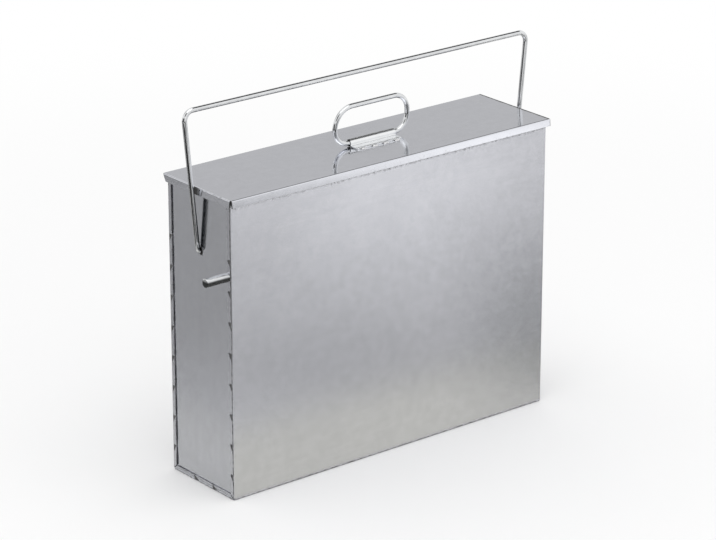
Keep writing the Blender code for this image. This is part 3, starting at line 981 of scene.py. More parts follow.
@dataclass
class BodyShell:
    """Open box of the bucket: a folded wrapper with crimped lips and two end panels.

    The pair for the painted shadow under the lid is for left and right, the other pairs are for front and
    back.
    """

    length: float = 0.400
    depth: float = 0.100
    rim: float = 0.3089
    sheet: float = 0.0008
    gap: float = 0.0003
    fold: float = 0.0012
    lip: float = 0.0055
    mitre: float = 0.0006
    hem: float = 0.006
    crimp_first: float = 0.027
    crimp_last_drop: float = 0.060
    crimp_count: int = 8
    crimp_length: float = 0.008
    crimp_slit: float = 0.07
    base_crimp_spacing: float = 0.030
    base_crimp_count: int = 2
    lip_lift: Pair = (0.0003, 0.0006)
    lift_mean: float = 0.75
    lift_waver: float = 0.5
    lip_ragged: float = 0.00020
    # Width of the bands of painted shade along the lips' edges.
    lip_shade_band: float = 0.0012
    lip_step: float = 0.006
    lip_edge: float = 0.001
    # Width of the band of painted shade on the end panel beside the lips.
    panel_shade_band: float = 0.0016
    press_reach: float = 0.0045
    under_lid: float = 0.0075
    bail_hole: float = 0.0030
    hole_sides: int = 32
    pivot: float = 0.245
    solder_sink: float = 0.00032
    solder_depth: float = 0.0004
    solder_edge: float = 0.0001
    broken_edge: float = 0.00012
    fold_steps: int = 6
    # Amounts of painted shade: in the gap under the lid, as a shadow under the lid's skirt, as a contact
    # shadow along the bottom fold, as dark lines along the end folds and beside the lips' free edges, then
    # in the gaps under the lips and round the bail's hole. The lip and crimp amounts are dirt on the lips
    # and in the crimps.
    rim_painted_shade: float = 0.9
    under_lid_painted_shadow: Pair = (0.46, 0.60)
    base_painted_shadow: float = 0.50
    fold_painted_shade: Pair = (0.58, 0.34)
    lip_edge_painted_shade: Pair = (0.36, 0.44)
    lip_grime: float = 0.04
    crimp_grime: float = 0.15
    tucked_painted_shade: float = 0.38
    hole_painted_shade: float = 0.95

    @property
    def half_length(self) -> float:
        """Half of the length."""
        return self.length / 2

    @property
    def half_depth(self) -> float:
        """Half of the depth."""
        return self.depth / 2

    @property
    def panel_x(self) -> float:
        """Distance of an end panel's outer face from the middle."""
        return self.half_length - self.sheet - self.gap

    def crimp_heights(self) -> list[float]:
        """Heights of the crimps' upper edges."""
        pitch = (self.rim - self.crimp_last_drop - self.crimp_first) / (self.crimp_count - 1)
        return [self.crimp_first + index * pitch for index in range(self.crimp_count)]

    def base_crimps(self) -> list[float]:
        """Places of the base crimps along Y."""
        middle = (self.base_crimp_count - 1) / 2
        return [(index - middle) * self.base_crimp_spacing for index in range(self.base_crimp_count)]

    def crimps(self) -> Iterator[tuple[Vector, Vector, Vector]]:
        """Go through all the crimps.

        Yields:
            A crimp's wide corner at the fold, its way to the free edge and the way it runs out.
        """
        for end in SIDES:
            x = end * self.half_length
            for z in self.crimp_heights():
                for side in SIDES:
                    yield Vector((x, side * (self.half_depth - self.fold), z)), -side * AXIS_Y, -AXIS_Z
            for y in self.base_crimps():
                yield Vector((x, y, self.fold)), AXIS_Z, -AXIS_Y

    def build(self, effects: Effects) -> None:
        """Build and dress the wrapper, both end panels and the solder in the crimps.

        Args:
            effects: Shared surface effects.
        """
        ends = END_SHEET.material(effects)
        wrapper = BODY_SHEET.material(effects)
        deliver(self.make_wrapper(), wrapper, Body.BUCKET, Slot.SHEET, "body_wrapper")
        deliver(self.make_end("left_end", -1), ends, Body.BUCKET, Slot.SHEET, "left_end_panel")
        deliver(self.make_end("right_end", 1), ends, Body.BUCKET, Slot.SHEET, "right_end_panel")
        deliver(self.make_solder(), SEAM_SOLDER.material(effects), Body.BUCKET, Slot.WELD)

    def make_wrapper(self) -> Object:
        """Fold front, base and back from one sheet, with rim hems and crimped lips.

        Returns:
            The wrapper.
        """
        work = SheetWork(self.fold_steps)
        r, wide, high = self.fold, self.half_depth, self.rim - self.fold
        lowest = r + self.mitre
        wall = (high + lowest) / 2
        end_x = self.half_length - r
        section = [Vector((-wide, high)), Vector((-wide, lowest))]
        section += arc(Vector((r - wide, r)), r, math.pi, 3 * QUARTER, self.fold_steps)
        section += [Vector((lowest - wide, 0.0)), Vector((wide - lowest, 0.0))]
        section += arc(Vector((wide - r, r)), r, -QUARTER, 0.0, self.fold_steps)
        section += [Vector((wide, lowest)), Vector((wide, high))]
        work.lay([(-end_x, *point) for point in section], AXIS_X * 2 * end_x)
        for end in SIDES:
            x = end * end_x
            for side in SIDES:
                point, centre = Vector((x, side * wide, wall)), Vector((x, side * (wide - r), 0.0))
                turn = -side * end * QUARTER
                free = work.fold(point, centre, AXIS_Z, turn, -side * AXIS_Y, self.lip - r)
                min(free, key=lambda vert: vert.co.z).co.z = self.lip + self.mitre
            point, centre = Vector((x, 0.0, 0.0)), Vector((x, 0.0, r))
            for vert in work.fold(point, centre, AXIS_Y, -end * QUARTER, AXIS_Z, self.lip - r):
                vert.co.y = math.copysign(wide - self.lip - self.mitre, vert.co.y)
        self.make_hems(work, high)
        self.score_lips(work, high)
        self.notch_lips(work)
        self.lift_lips(work)
        for inset in (r + self.lip_shade_band, self.lip - self.lip_shade_band):
            work.score(AXIS_Z, inset)
            work.score(AXIS_Y, inset - wide, wide - inset)
        work.face_towards(Vector((0.0, -wide, wall)), -AXIS_Y)
        return work.finish("wrapper", self.wrapper_shade_and_dirt, self.sheet, self.broken_edge)

    def make_hems(self, work: SheetWork, high: float) -> None:
        """Fold the rim of front and back inwards, clear of the end panels.

        Args:
            work: The wrapper.
            high: Height at which the hem's arc starts.
        """
        hem_x = self.panel_x - self.sheet - self.gap
        work.score(AXIS_X, -hem_x, hem_x)
        for side in SIDES:
            point = Vector((0.0, side * self.half_depth, high))
            centre = Vector((0.0, side * (self.half_depth - self.fold), high))
            work.fold(point, centre, AXIS_X, side * math.pi, -AXIS_Z, self.hem)

    def score_lips(self, work: SheetWork, high: float) -> None:
        """Divide the lips at the crimps and between them.

        Args:
            work: The wrapper.
            high: Height up to which the lips run.
        """
        heights = self.crimp_heights()
        lows = [self.lip + self.mitre, *heights]
        tops = [*(z - self.crimp_length for z in heights), high]
        for low, top in zip(lows, tops):
            count = max(2, round((top - low) / self.lip_step))
            work.score(AXIS_Z, *(low + (top - low) * index / count for index in range(count + 1)))
        for y in self.base_crimps():
            work.score(AXIS_Y, y, y - self.crimp_length)

    def notch_lips(self, work: SheetWork) -> None:
        """Cut a wedge out of the lips at each crimp, widest at one end and running out along the fold.

        Args:
            work: The wrapper.
        """
        for corner, across, along in self.crimps():
            middle = corner + (across * (self.lip - self.fold) + along * self.crimp_length) / 2
            face = work.face_at(middle)
            ranked = {}
            for vert in face.verts:
                way = vert.co - middle
                ranked[way.dot(across) > 0.0, way.dot(along) < 0.0] = vert
            outer_wide, outer_far = ranked[True, True], ranked[True, False]
            inner_wide, inner_far = ranked[False, True], ranked[False, False]
            rim = next(edge for edge in face.edges if {outer_wide, outer_far} == set(edge.verts))
            _, slit = bmesh.utils.edge_split(rim, outer_wide, self.crimp_slit)
            bmesh.utils.face_split(face, slit, inner_far)
            wedge = next(item for item in inner_wide.link_faces if {outer_wide, slit} <= set(item.verts))
            bmesh.ops.delete(work.bm, geom=[wedge], context="FACES")

    def pressed(self, place: Vector) -> float:
        """Return how firmly the lip is hammered down at a place, from 0 to 1."""
        if place.z > self.lip + self.lip_edge:
            near = min(abs(place.z - z + self.crimp_length / 2) for z in self.crimp_heights())
        else:
            near = min(abs(place.y - y + self.crimp_length / 2) for y in self.base_crimps())
        return math.exp(-((near / self.press_reach) ** 2))

    def lift_lips(self, work: SheetWork) -> None:
        """Lift and fray the free edges of the lips between the crimps.

        Args:
            work: The wrapper.
        """
        for vert in work.bm.verts:
            place = vert.co.copy()
            on_end = abs(place.x) >= self.half_length - NEAR
            off_fold = abs(place.y) < self.half_depth - self.lip + NEAR and place.z >= self.lip - NEAR
            if not (on_end and off_fold):
                continue
            lift = self.lip_lift[place.y > self.half_depth / 2]
            loose = self.lift_mean + self.lift_waver * wobble(place, scale=45.0, seed=3.0)
            vert.co.x += math.copysign(lift * (1.0 - self.pressed(place)) * loose, place.x)
            ragged = self.lip_ragged * wobble(place, scale=95.0, seed=8.0)
            if place.z < self.lip + NEAR:
                vert.co.z += ragged
            else:
                vert.co.y += math.copysign(ragged, place.y)

    def wrapper_shade_and_dirt(self, place: Vector) -> float:
        """Return the painted shade and the crimp dirt of the wrapper.

        Args:
            place: Place on it.

        Returns:
            Amount from 0 to 1.
        """
        # Painted shade in the gap under the lid.
        if place.z > self.rim - self.fold - NEAR:
            return self.rim_painted_shade
        # Painted shadow under the lid's skirt.
        if place.z > self.rim - self.under_lid:
            return self.under_lid_painted_shadow[place.x > 0.0]
        # Painted contact shadow along the bottom fold.
        if place.z < self.fold + self.mitre + NEAR:
            return self.base_painted_shadow
        if abs(place.x) < self.half_length - self.fold / 2:
            return 0.0
        back = place.y > self.half_depth / 2
        inset = min(self.half_depth - abs(place.y), place.z)
        # Painted dark line along the end folds.
        if inset < self.fold + NEAR:
            return self.fold_painted_shade[back]
        # Painted shade beside the lips' free edges.
        if inset > self.lip - self.lip_edge:
            return self.lip_edge_painted_shade[back]
        # Dirt on the lips, heaviest at the crimps.
        return self.lip_grime + self.crimp_grime * self.pressed(place)

    def make_end(self, name: str, end: int) -> Object:
        """Make one end panel with its rim hem and the hole for the bail.

        Args:
            name: Name of the piece.
            end: Side of the bucket, -1 for left and 1 for right.

        Returns:
            The end panel.
        """
        work = SheetWork(self.fold_steps)
        low, high = self.sheet + self.gap, self.rim - self.fold
        edge_y = self.half_depth - self.sheet - self.gap
        hem_y = self.half_depth - 2 * self.fold - self.gap
        lip_y = self.half_depth - self.lip
        outer = end * self.panel_x
        work.lay([(outer, -edge_y, low), (outer, -edge_y, high)], AXIS_Y * 2 * edge_y)
        for side in SIDES:
            work.score(AXIS_Y, *(side * y for y in (hem_y, lip_y, lip_y - self.panel_shade_band)))
        work.score(AXIS_Z, self.lip, self.lip + self.panel_shade_band)
        centre = Vector((outer - end * self.fold, 0.0, high))
        work.fold(Vector((outer, 0.0, high)), centre, AXIS_Y, -end * math.pi, -AXIS_Z, self.hem)
        work.punch(Vector((outer, 0.0, self.pivot)), self.bail_hole, self.hole_sides)
        work.face_towards(Vector((outer, 0.0, high / 2)), end * AXIS_X)
        return work.finish(name, self.end_painted_shade, self.sheet, self.broken_edge)

    def end_painted_shade(self, place: Vector) -> float:
        """Return the painted shade of an end panel, in the gaps under the lips and round the bail's hole.

        Args:
            place: Place on it.

        Returns:
            Amount from 0 to 1.
        """
        # Painted shade in the gaps under the lips.
        if abs(place.y) > self.half_depth - self.lip - NEAR or place.z < self.lip + NEAR:
            return self.tucked_painted_shade
        # Painted shade round the bail's hole.
        by_hole = math.hypot(place.y, place.z - self.pivot) < self.bail_hole + NEAR
        return self.hole_painted_shade if by_hole else 0.0

    def make_solder(self) -> Object:
        """Fill the crimps' wedges with solder that stays below the lips.

        Returns:
            The solder of all the crimps.
        """
        bm = bmesh.new()
        reach = self.lip - self.fold - self.gap
        for corner, across, along in self.crimps():
            inward = -math.copysign(1.0, corner.x) * AXIS_X
            root = corner + inward * self.solder_sink
            outline = (root, root + across * reach, root + along * self.crimp_length)
            face = bm.faces.new([bm.verts.new(point) for point in outline])
            verts = verts_in(bmesh.ops.extrude_face_region(bm, geom=[face])["geom"])
            bmesh.ops.translate(bm, verts=verts, vec=inward * self.solder_depth)
        bmesh.ops.recalc_face_normals(bm, faces=bm.faces)
        round_off(bm, bm.edges[:], self.solder_edge, segments=2)
        return new_piece("seam_solder", bm)


@dataclass
class Lid:
    """Flat lift-off lid with four flared skirt flaps and open corners, the back left one cut wider."""

    half_length: float = 0.2025
    half_depth: float = 0.0545
    top: float = 0.310
    sheet: float = 0.0008
    fold: float = 0.0012
    skirt: float = 0.0076
    flare: float = math.radians(6.0)
    slant: float = math.radians(2.0)
    corner_cut: float = 0.0045
    # Widths and places of painted shade: bands at the cut corners, along the plate's right edge and along
    # the skirts' lower edge, and the spot where the bail's leg passes the end flaps.
    cut_shade_band: float = 0.0012
    far_shade_band: float = 0.0040
    skirt_shade_band: float = 0.0005
    leg_shade_y: float = 0.0005
    leg_shade_width: float = 0.0062
    leg_shade_share: float = 0.6
    end_share: float = 0.4
    broken_edge: float = 0.00012
    fold_steps: int = 8
    # Amounts of painted shade: in the open corners, where the bail's leg passes the end flaps, along the
    # skirts' lower edge, along the front half of the left fold and along the plate's right edge.
    corner_painted_shade: float = 0.85
    leg_painted_shade: float = 0.78
    skirt_painted_shadow: float = 0.22
    left_fold_painted_shade: float = 0.28
    far_edge_painted_shade: float = 0.78

    def build(self, effects: Effects) -> None:
        """Build and dress the lid."""
        deliver(self.make_sheet(), LID_SHEET.material(effects), Body.LID, Slot.LID, "lid")

    def make_sheet(self) -> Object:
        """Fold the lid from one sheet.

        Returns:
            The lid.
        """
        work = SheetWork(self.fold_steps)
        plate = (self.half_length - self.fold, self.half_depth - self.fold)
        turn = QUARTER - self.flare
        drop = (self.skirt - self.fold) / math.cos(self.flare)
        trim = drop * math.tan(self.slant)
        corners = [(-plate[0], side * plate[1], self.top) for side in SIDES]
        work.lay(corners, AXIS_X * 2 * plate[0])
        for side in SIDES:
            for across, along, angle in ((1, 0, -side * turn), (0, 1, side * turn)):
                out, axis = (AXIS_X, AXIS_Y)[across], (AXIS_X, AXIS_Y)[along]
                point = side * plate[across] * out + self.top * AXIS_Z
                lean = side * math.sin(self.flare) * out - math.cos(self.flare) * AXIS_Z
                for vert in work.fold(point, point - self.fold * AXIS_Z, axis, angle, lean, drop):
                    cut = self.corner_cut if vert.co.x < 0.0 < vert.co.y else trim
                    vert.co[along] = math.copysign(plate[along] - cut, vert.co[along])
            work.score(AXIS_X, side * (plate[0] - self.cut_shade_band))
            work.score(AXIS_Y, side * (plate[1] - self.cut_shade_band))
            work.score(AXIS_Y, self.leg_shade_y + side * self.leg_shade_width / 2, self.leg_shade_y + side * self.leg_shade_width)
        work.score(AXIS_X, plate[0] - self.far_shade_band)
        work.face_towards(self.top * AXIS_Z, AXIS_Z)
        return work.finish("lid_sheet", self.grime_and_shade, self.sheet, self.broken_edge)

    def grime_and_shade(self, place: Vector) -> float:
        """Return the painted shade of the lid.

        Args:
            place: Place on it.

        Returns:
            Amount from 0 to 1.
        """
        # Painted shade in the open corners.
        inset = self.fold + self.cut_shade_band / 2
        if abs(place.x) > self.half_length - inset and abs(place.y) > self.half_depth - inset:
            return self.corner_painted_shade
        # Painted shadow and dark reflection of the bail's leg where it passes the end flaps.
        on_end = abs(place.x) > self.half_length - self.end_share * self.fold
        if on_end and abs(place.y - self.leg_shade_y) < self.leg_shade_share * self.leg_shade_width:
            return self.leg_painted_shade
        # Painted shadow along the skirts' lower edge.
        if place.z < self.top - self.skirt + self.skirt_shade_band:
            return self.skirt_painted_shadow
        # Painted shade along the front half of the left fold, where it dims the fold's highlight.
        if place.x < self.fold - self.half_length - CLOSE and place.z > self.top - self.fold:
            return self.left_fold_painted_shade if place.y < 0.0 else 0.0
        # Painted dark reflection along the plate's right edge.
        far = place.x > self.half_length - self.fold - self.cut_shade_band - NEAR
        return self.far_edge_painted_shade if far and place.z > self.top - CLOSE else 0.0


@dataclass
class LidHandle:
    """Wire loop of the lid, the rolled clip that carries it and the clip's weld beads."""

    x: float = 0.015
    y: float = 0.0035
    lid_top: float = 0.310
    sheet: float = 0.0008
    gap: float = 0.0003
    wire: float = 0.005
    wire_sides: int = 28
    ring_step: float = 0.004
    bend_steps: int = 20
    loop_length: float = 0.092
    loop_rise: float = 0.0375
    loop_corners: tuple[float, float, float, float] = (0.017, 0.017, 0.0215, 0.0155)
    # A painted dark reflection in a line down the front of both legs.
    painted_line_side: Triple = (-0.33, -0.944, 0.0)
    painted_line_amount: float = 0.82
    painted_line_beside: float = 0.028
    painted_line_foot: float = 0.006
    painted_line_head: float = 0.031
    painted_line_fade: float = 0.006
    line_start: float = 0.93
    line_fade: float = 0.05
    clip_length: float = 0.057
    clip_parts: int = 24
    roll_steps: int = 36
    flange: float = 0.0135
    flange_corner: float = 0.0022
    leaf_gap: float = 0.00005
    fillet: float = 0.0012
    fillet_steps: int = 8
    ragged: float = 0.00035
    ragged_reach: float = 0.0004
    broken_edge: float = 0.0001
    # Painted shade at the clip's left end beside the wire, and a painted dark reflection along its crest.
    end_shade_band: float = 0.0016
    end_painted_shade: float = 0.9
    end_share: float = 0.6
    crest: Triple = (0.0, 0.259, 0.966)
    crest_painted_shade: float = 0.72
    crest_start: float = 0.85
    crest_fade: float = 0.1
    weld_count: int = 4
    weld_size: Triple = (0.0033, 0.0014, 0.0012)
    weld_ahead: float = 0.0013
    weld_uneven: float = 0.16
    weld_cut: float = 0.15

    @property
    def knuckle(self) -> float:
        """Radius of the clip's middle line round the wire."""
        return self.wire / 2 + self.gap + self.sheet / 2

    @property
    def axis(self) -> Vector:
        """Middle of the loop's straight run, on its hinge axis."""
        return Vector((self.x, self.y, self.lid_top + self.gap + self.sheet / 2 + self.knuckle))

    def build(self, effects: Effects) -> None:
        """Build and dress the clip, its beads and the loop.

        Args:
            effects: Shared surface effects.
        """
        strip, weld = CLIP_STRIP.material(effects), WELD_METAL.material(effects)
        deliver(self.make_clip(), strip, Body.LID, Slot.STRIP, "lid_handle_clip")
        for index in range(self.weld_count):
            deliver(self.make_bead(index), weld, Body.LID, Slot.WELD, "clip_weld_" + str(index + 1))
        deliver(self.make_loop(), BRIGHT_WIRE.material(effects), Body.LOOP, Slot.WIRE, "lid_handle_loop")

    def make_clip(self) -> Object:
        """Roll a strip round the wire and lay both its leaves on the lid.

        Returns:
            The clip.
        """
        work = SheetWork()
        axis = self.axis.yz
        front, start = self.y - self.flange, self.x - self.clip_length / 2
        lower = self.lid_top + self.leaf_gap + self.sheet / 2
        leaf = lower + self.sheet + self.leaf_gap
        rise = leaf + self.fillet - axis.y
        reach = self.knuckle + self.fillet
        fillet = Vector((axis.x - math.sqrt(reach ** 2 - rise ** 2), leaf + self.fillet))
        meeting = math.atan2(rise, axis.x - fillet.x)
        path = [Vector((front, lower))]
        path += arc(axis, self.knuckle, -QUARTER, math.pi - meeting, self.roll_steps)
        path += arc(fillet, self.fillet, -meeting, -QUARTER, self.fillet_steps)[1:]
        path.append(Vector((front, leaf)))
        work.lay([(start, *point) for point in path], AXIS_X * self.clip_length)
        corners = [vert for vert in work.bm.verts if vert.co.y < front + CLOSE]
        round_off(work.bm, corners, self.flange_corner, segments=5, affect="VERTICES")
        for index in range(1, self.clip_parts):
            work.score(AXIS_X, start + self.clip_length * index / self.clip_parts)
        work.score(AXIS_X, start + self.end_shade_band)
        for vert in work.bm.verts:
            if vert.co.y < front + self.ragged_reach:
                vert.co.y += self.ragged * wobble(vert.co, scale=160.0, seed=5.0)
        work.face_towards(self.axis + self.knuckle * AXIS_Z, AXIS_Z)
        return work.finish("handle_clip", self.clip_painted_shade, self.sheet, self.broken_edge, 0.0)

    def clip_painted_shade(self, place: Vector) -> float:
        """Return the painted shade of the clip, at its left end beside the wire and as a painted dark
        reflection along its crest.

        Args:
            place: Place on it.

        Returns:
            Amount from 0 to 1.
        """
        # Painted shade at the left end, above and below the wire.
        at_left_end = place.x < self.x - self.clip_length / 2 + NEAR
        reach = self.end_share * self.knuckle
        if at_left_end and abs(place.z - self.axis.z) > reach and place.y > self.y - reach:
            return self.end_painted_shade
        # Painted dark reflection along the crest of the roll.
        height = (place - self.axis).dot(Vector(self.crest)) / self.knuckle
        return self.crest_painted_shade * clamp((height - self.crest_start) / self.crest_fade)

    def make_bead(self, index: int) -> Object:
        """Make one weld bead at the clip's front edge.

        Args:
            index: Number of the bead from the left.

        Returns:
            The bead.
        """
        bm = bmesh.new()
        bmesh.ops.create_icosphere(bm, subdivisions=4, radius=1.0)
        geom = [*bm.verts, *bm.edges, *bm.faces]
        low = -self.weld_cut * AXIS_Z
        bmesh.ops.bisect_plane(
            bm, geom=geom, dist=TOUCHING, plane_co=low, plane_no=-AXIS_Z, clear_outer=True
        )
        bmesh.ops.holes_fill(bm, edges=[edge for edge in bm.edges if edge.is_boundary], sides=0)
        for vert in bm.verts:
            vert.co *= 1.0 + self.weld_uneven * wobble(vert.co, scale=2.3, seed=11.0 + 7.0 * index)
        bmesh.ops.scale(bm, verts=bm.verts, vec=self.weld_size)
        x = self.x + self.clip_length * ((index + 0.5) / self.weld_count - 0.5)
        front = self.y - self.flange - self.gap - self.weld_ahead
        bmesh.ops.translate(bm, verts=bm.verts, vec=(x, front, self.lid_top + self.gap))
        bmesh.ops.recalc_face_normals(bm, faces=bm.faces)
        return new_piece("weld_bead_" + str(index + 1), bm)

    def make_loop(self) -> Object:
        """Bend the closed wire loop, with its joint inside the clip.

        Returns:
            The loop.
        """
        half = AXIS_X * self.loop_length / 2
        low, high = self.axis, self.axis + AXIS_Z * self.loop_rise
        work = WireWork(low, AXIS_X, self.wire / 2, self.wire_sides)
        corners = [low + half, high + half, high - half, low - half, low]
        work.follow(corners, self.loop_corners, self.ring_step, self.bend_steps)
        work.close()
        return work.finish("lid_loop", self.loop_painted_reflection)

    def loop_painted_reflection(self, place: Vector, outward: Vector) -> float:
        """Return the painted dark reflection of the loop, in a line down the front of both legs.

        Args:
            place: Place on it.
            outward: Direction in which the surface looks there.

        Returns:
            Amount from 0 to 1.
        """
        # Painted dark reflection where the surface looks to the front left.
        line = (outward.dot(Vector(self.painted_line_side)) - self.line_start) / self.line_fade
        beside = (abs(place.x - self.x) - self.painted_line_beside) / self.painted_line_fade
        rise = place.z - self.axis.z
        between = min(rise - self.painted_line_foot, self.painted_line_head - rise) / self.painted_line_fade
        return self.painted_line_amount * clamp(min(line, beside, between))


@dataclass
class CarryBail:
    """Carrying bail of bright wire, with splayed legs and feet turned into the end panels."""

    foot: float = 0.2018
    tip: float = 0.1871
    splay: float = 0.0137
    pivot: float = 0.245
    bar: float = 0.387
    wire: float = 0.005
    wire_sides: int = 28
    ring_step: float = 0.008
    bend_steps: int = 16
    foot_bend: float = 0.0032
    top_bend: float = 0.0095
    sheared_edge: float = 0.0005
    # Painted shade on the legs' sides that face the end panels below the lid, and a thin painted dark
    # reflection on the right leg above it.
    shade_line: float = 0.302
    inner_painted_shade: float = 0.85
    dark_start: float = -0.25
    dark_fade: float = 0.5
    thin_painted_reflection: float = 0.20
    thin_start: float = 0.322
    thin_fade: float = 0.012

    def build(self, effects: Effects) -> None:
        """Build and dress the bail."""
        material = bpy.data.materials.get(BRIGHT_WIRE.name) or BRIGHT_WIRE.material(effects)
        deliver(self.make_wire(), material, Body.BAIL, Slot.WIRE, "carry_bail")

    def make_wire(self) -> Object:
        """Bend the bail from one length of wire.

        Returns:
            The bail.
        """
        top, foot, tip = (x * AXIS_X for x in (self.foot + self.splay, self.foot, self.tip))
        low, high = AXIS_Z * self.pivot, AXIS_Z * self.bar
        work = WireWork(low - tip, -AXIS_X, self.wire / 2, self.wire_sides)
        corners = [low - foot, high - top, high + top, low + foot, low + tip]
        bends = [self.foot_bend, self.top_bend, self.top_bend, self.foot_bend]
        work.follow(corners, bends, self.ring_step, self.bend_steps)
        work.cap(self.sheared_edge)
        return work.finish("bail_wire", self.shade_and_grime)

    def shade_and_grime(self, place: Vector, outward: Vector) -> float:
        """Return the painted shade, dark on the side of the legs that faces the end panels below the lid,
        and a thin painted dark reflection on the right leg above it.

        Args:
            place: Place on it.
            outward: Direction in which the surface looks there.

        Returns:
            Amount from 0 to 1.
        """
        if abs(place.x) < self.foot - self.wire:
            return 0.0
        # Above the lid: a thin painted dark reflection on the right leg.
        if place.z > self.shade_line:
            worn = place.x > 0.0 and place.z < self.bar - self.wire / 2
            return self.thin_painted_reflection * clamp((place.z - self.thin_start) / self.thin_fade) if worn else 0.0
        # Below the lid: painted shade on the side facing the end panel.
        inward = -math.copysign(1.0, place.x) * outward.x
        return self.inner_painted_shade * clamp((inward - self.dark_start) / self.dark_fade)


@dataclass
class StopPin:
    """Short bar that stands out of the left end and stops the bail."""

    base_x: float = 0.200
    y: float = -0.045
    z: float = 0.231
    diameter: float = 0.009
    length: float = 0.027
    sheet: float = 0.0008
    gap: float = 0.0003
    spigot: float = 0.005
    head: float = 0.0074
    head_thickness: float = 0.0016
    rounding: float = 0.0008
    turn_steps: int = 48

    def build(self, effects: Effects) -> None:
        """Build and dress the pin."""
        deliver(self.make_bar(), PIN_BAR.material(effects), Body.BUCKET, Slot.BAR, "stop_pin")

    def make_bar(self) -> Object:
        """Turn the pin with its riveted spigot and inner head.

        Returns:
            The pin.
        """
        head_face = self.base_x - 2 * self.sheet - 2 * self.gap
        inner, shoulder = head_face - self.head_thickness, self.base_x + self.gap
        tip = self.base_x + self.length
        bm = bmesh.new()
        stock = bm.verts.layers.float_vector.new(STOCK)
        verts = [bm.verts.new((-inner, self.y, self.z))]
        for start, end, diameter in (
            (inner, head_face, self.head),
            (head_face, shoulder, self.spigot),
            (shoulder, tip, self.diameter),
        ):
            verts += [bm.verts.new((-x, self.y, self.z + diameter / 2)) for x in (start, end)]
        verts.append(bm.verts.new((-tip, self.y, self.z)))
        edges = [bm.edges.new(pair) for pair in zip(verts, verts[1:])]
        bmesh.ops.spin(
            bm,
            geom=[*verts, *edges],
            cent=(0.0, self.y, self.z),
            axis=AXIS_X,
            angle=2 * math.pi,
            steps=self.turn_steps,
            use_merge=True,
        )
        bmesh.ops.remove_doubles(bm, verts=bm.verts, dist=TOUCHING)
        bmesh.ops.recalc_face_normals(bm, faces=bm.faces)
        rims = [edge for edge in bm.edges if any(self.on_rim(edge, x) for x in (tip, inner))]
        round_off(bm, rims, self.rounding, segments=4)
        for vert in bm.verts:
            vert[stock] = Vector((vert.co.y - self.y, vert.co.z - self.z, -vert.co.x))
        return new_piece("pin_bar", bm)

    def on_rim(self, edge: BMEdge, x: float) -> bool:
        """Tell whether an edge lies on the rim of an end face.

        Args:
            edge: Edge of the pin.
            x: Distance of the face from the bucket's middle.

        Returns:
            True on the rim.
        """
        level = all(abs(vert.co.x + x) < TOUCHING for vert in edge.verts)
        radii = (math.hypot(vert.co.y - self.y, vert.co.z - self.z) for vert in edge.verts)
        return level and min(radii) > self.spigot / 2


@dataclass(frozen=True)
class Softbox:
    """A soft lamp."""

    name: str
    place: Triple
    target: Triple
    width: float
    height: float
    radiance: float

    def build(self) -> None:
        """Hang the lamp and turn it to its target."""
        lamp = bpy.data.lights.new(self.name, "AREA")
        lamp.shape = "RECTANGLE"
        lamp.size = self.width
        lamp.size_y = self.height
        lamp.energy = self.radiance * math.pi * self.width * self.height
        holder = bpy.data.objects.new(self.name, lamp)
        holder.location = self.place
        aim = Vector(self.target) - Vector(self.place)
        holder.rotation_euler = aim.to_track_quat("-Z", "Y").to_euler()
        holder.visible_camera = False
        bpy.context.scene.collection.objects.link(holder)


@dataclass(frozen=True)
class Flag:
    """A card beside the picture that only reflections see, with soft edges; its turn is in degrees."""

    name: str
    place: Triple
    turn: Triple
    width: float
    depth: float
    density: float
    tone: float
    soft: float
    near_soft: float = 0.0
    tint: Triple = ONES

    def build(self) -> None:
        """Set up the card."""
        bm = bmesh.new()
        bm.loops.layers.uv.new("UVMap")
        bmesh.ops.create_grid(bm, x_segments=1, y_segments=1, size=0.5, calc_uvs=True)
        bmesh.ops.scale(bm, verts=bm.verts, vec=(self.width, self.depth, 1.0))
        spin = Euler([math.radians(angle) for angle in self.turn]).to_matrix().to_4x4()
        bmesh.ops.transform(bm, verts=bm.verts, matrix=Matrix.Translation(self.place) @ spin)
        card = new_piece(self.name, bm)
        card.data.materials.append(self.material())
        for rays in ("camera", "diffuse", "shadow", "transmission", "volume_scatter"):
            setattr(card, "visible_" + rays, False)
        card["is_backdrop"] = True

    def material(self) -> Material:
        """Make the card's soft-edged grey.

        Returns:
            The material.
        """
        bench = Bench.for_material(self.name + "_grey")
        bench.tree.nodes.remove(bench.shader)
        uv = bench.add("ShaderNodeTexCoord").outputs["UV"]
        along = bench.add("ShaderNodeSeparateXYZ", uv).outputs
        cover: object = self.density
        for part, end_soft in ((along["X"], self.soft), (along["Y"], self.near_soft or self.soft)):
            cover = bench.math("MULTIPLY", bench.remap(part, 0.0, self.soft), cover)
            rest = bench.math("SUBTRACT", 1.0, part)
            cover = bench.math("MULTIPLY", bench.remap(rest, 0.0, end_soft), cover)
        clear = bench.add("ShaderNodeBsdfTransparent")
        grey = bench.add("ShaderNodeEmission", Color=self.tint, Strength=self.tone)
        bench.show_mix(cover, clear, grey)
        return bench.material


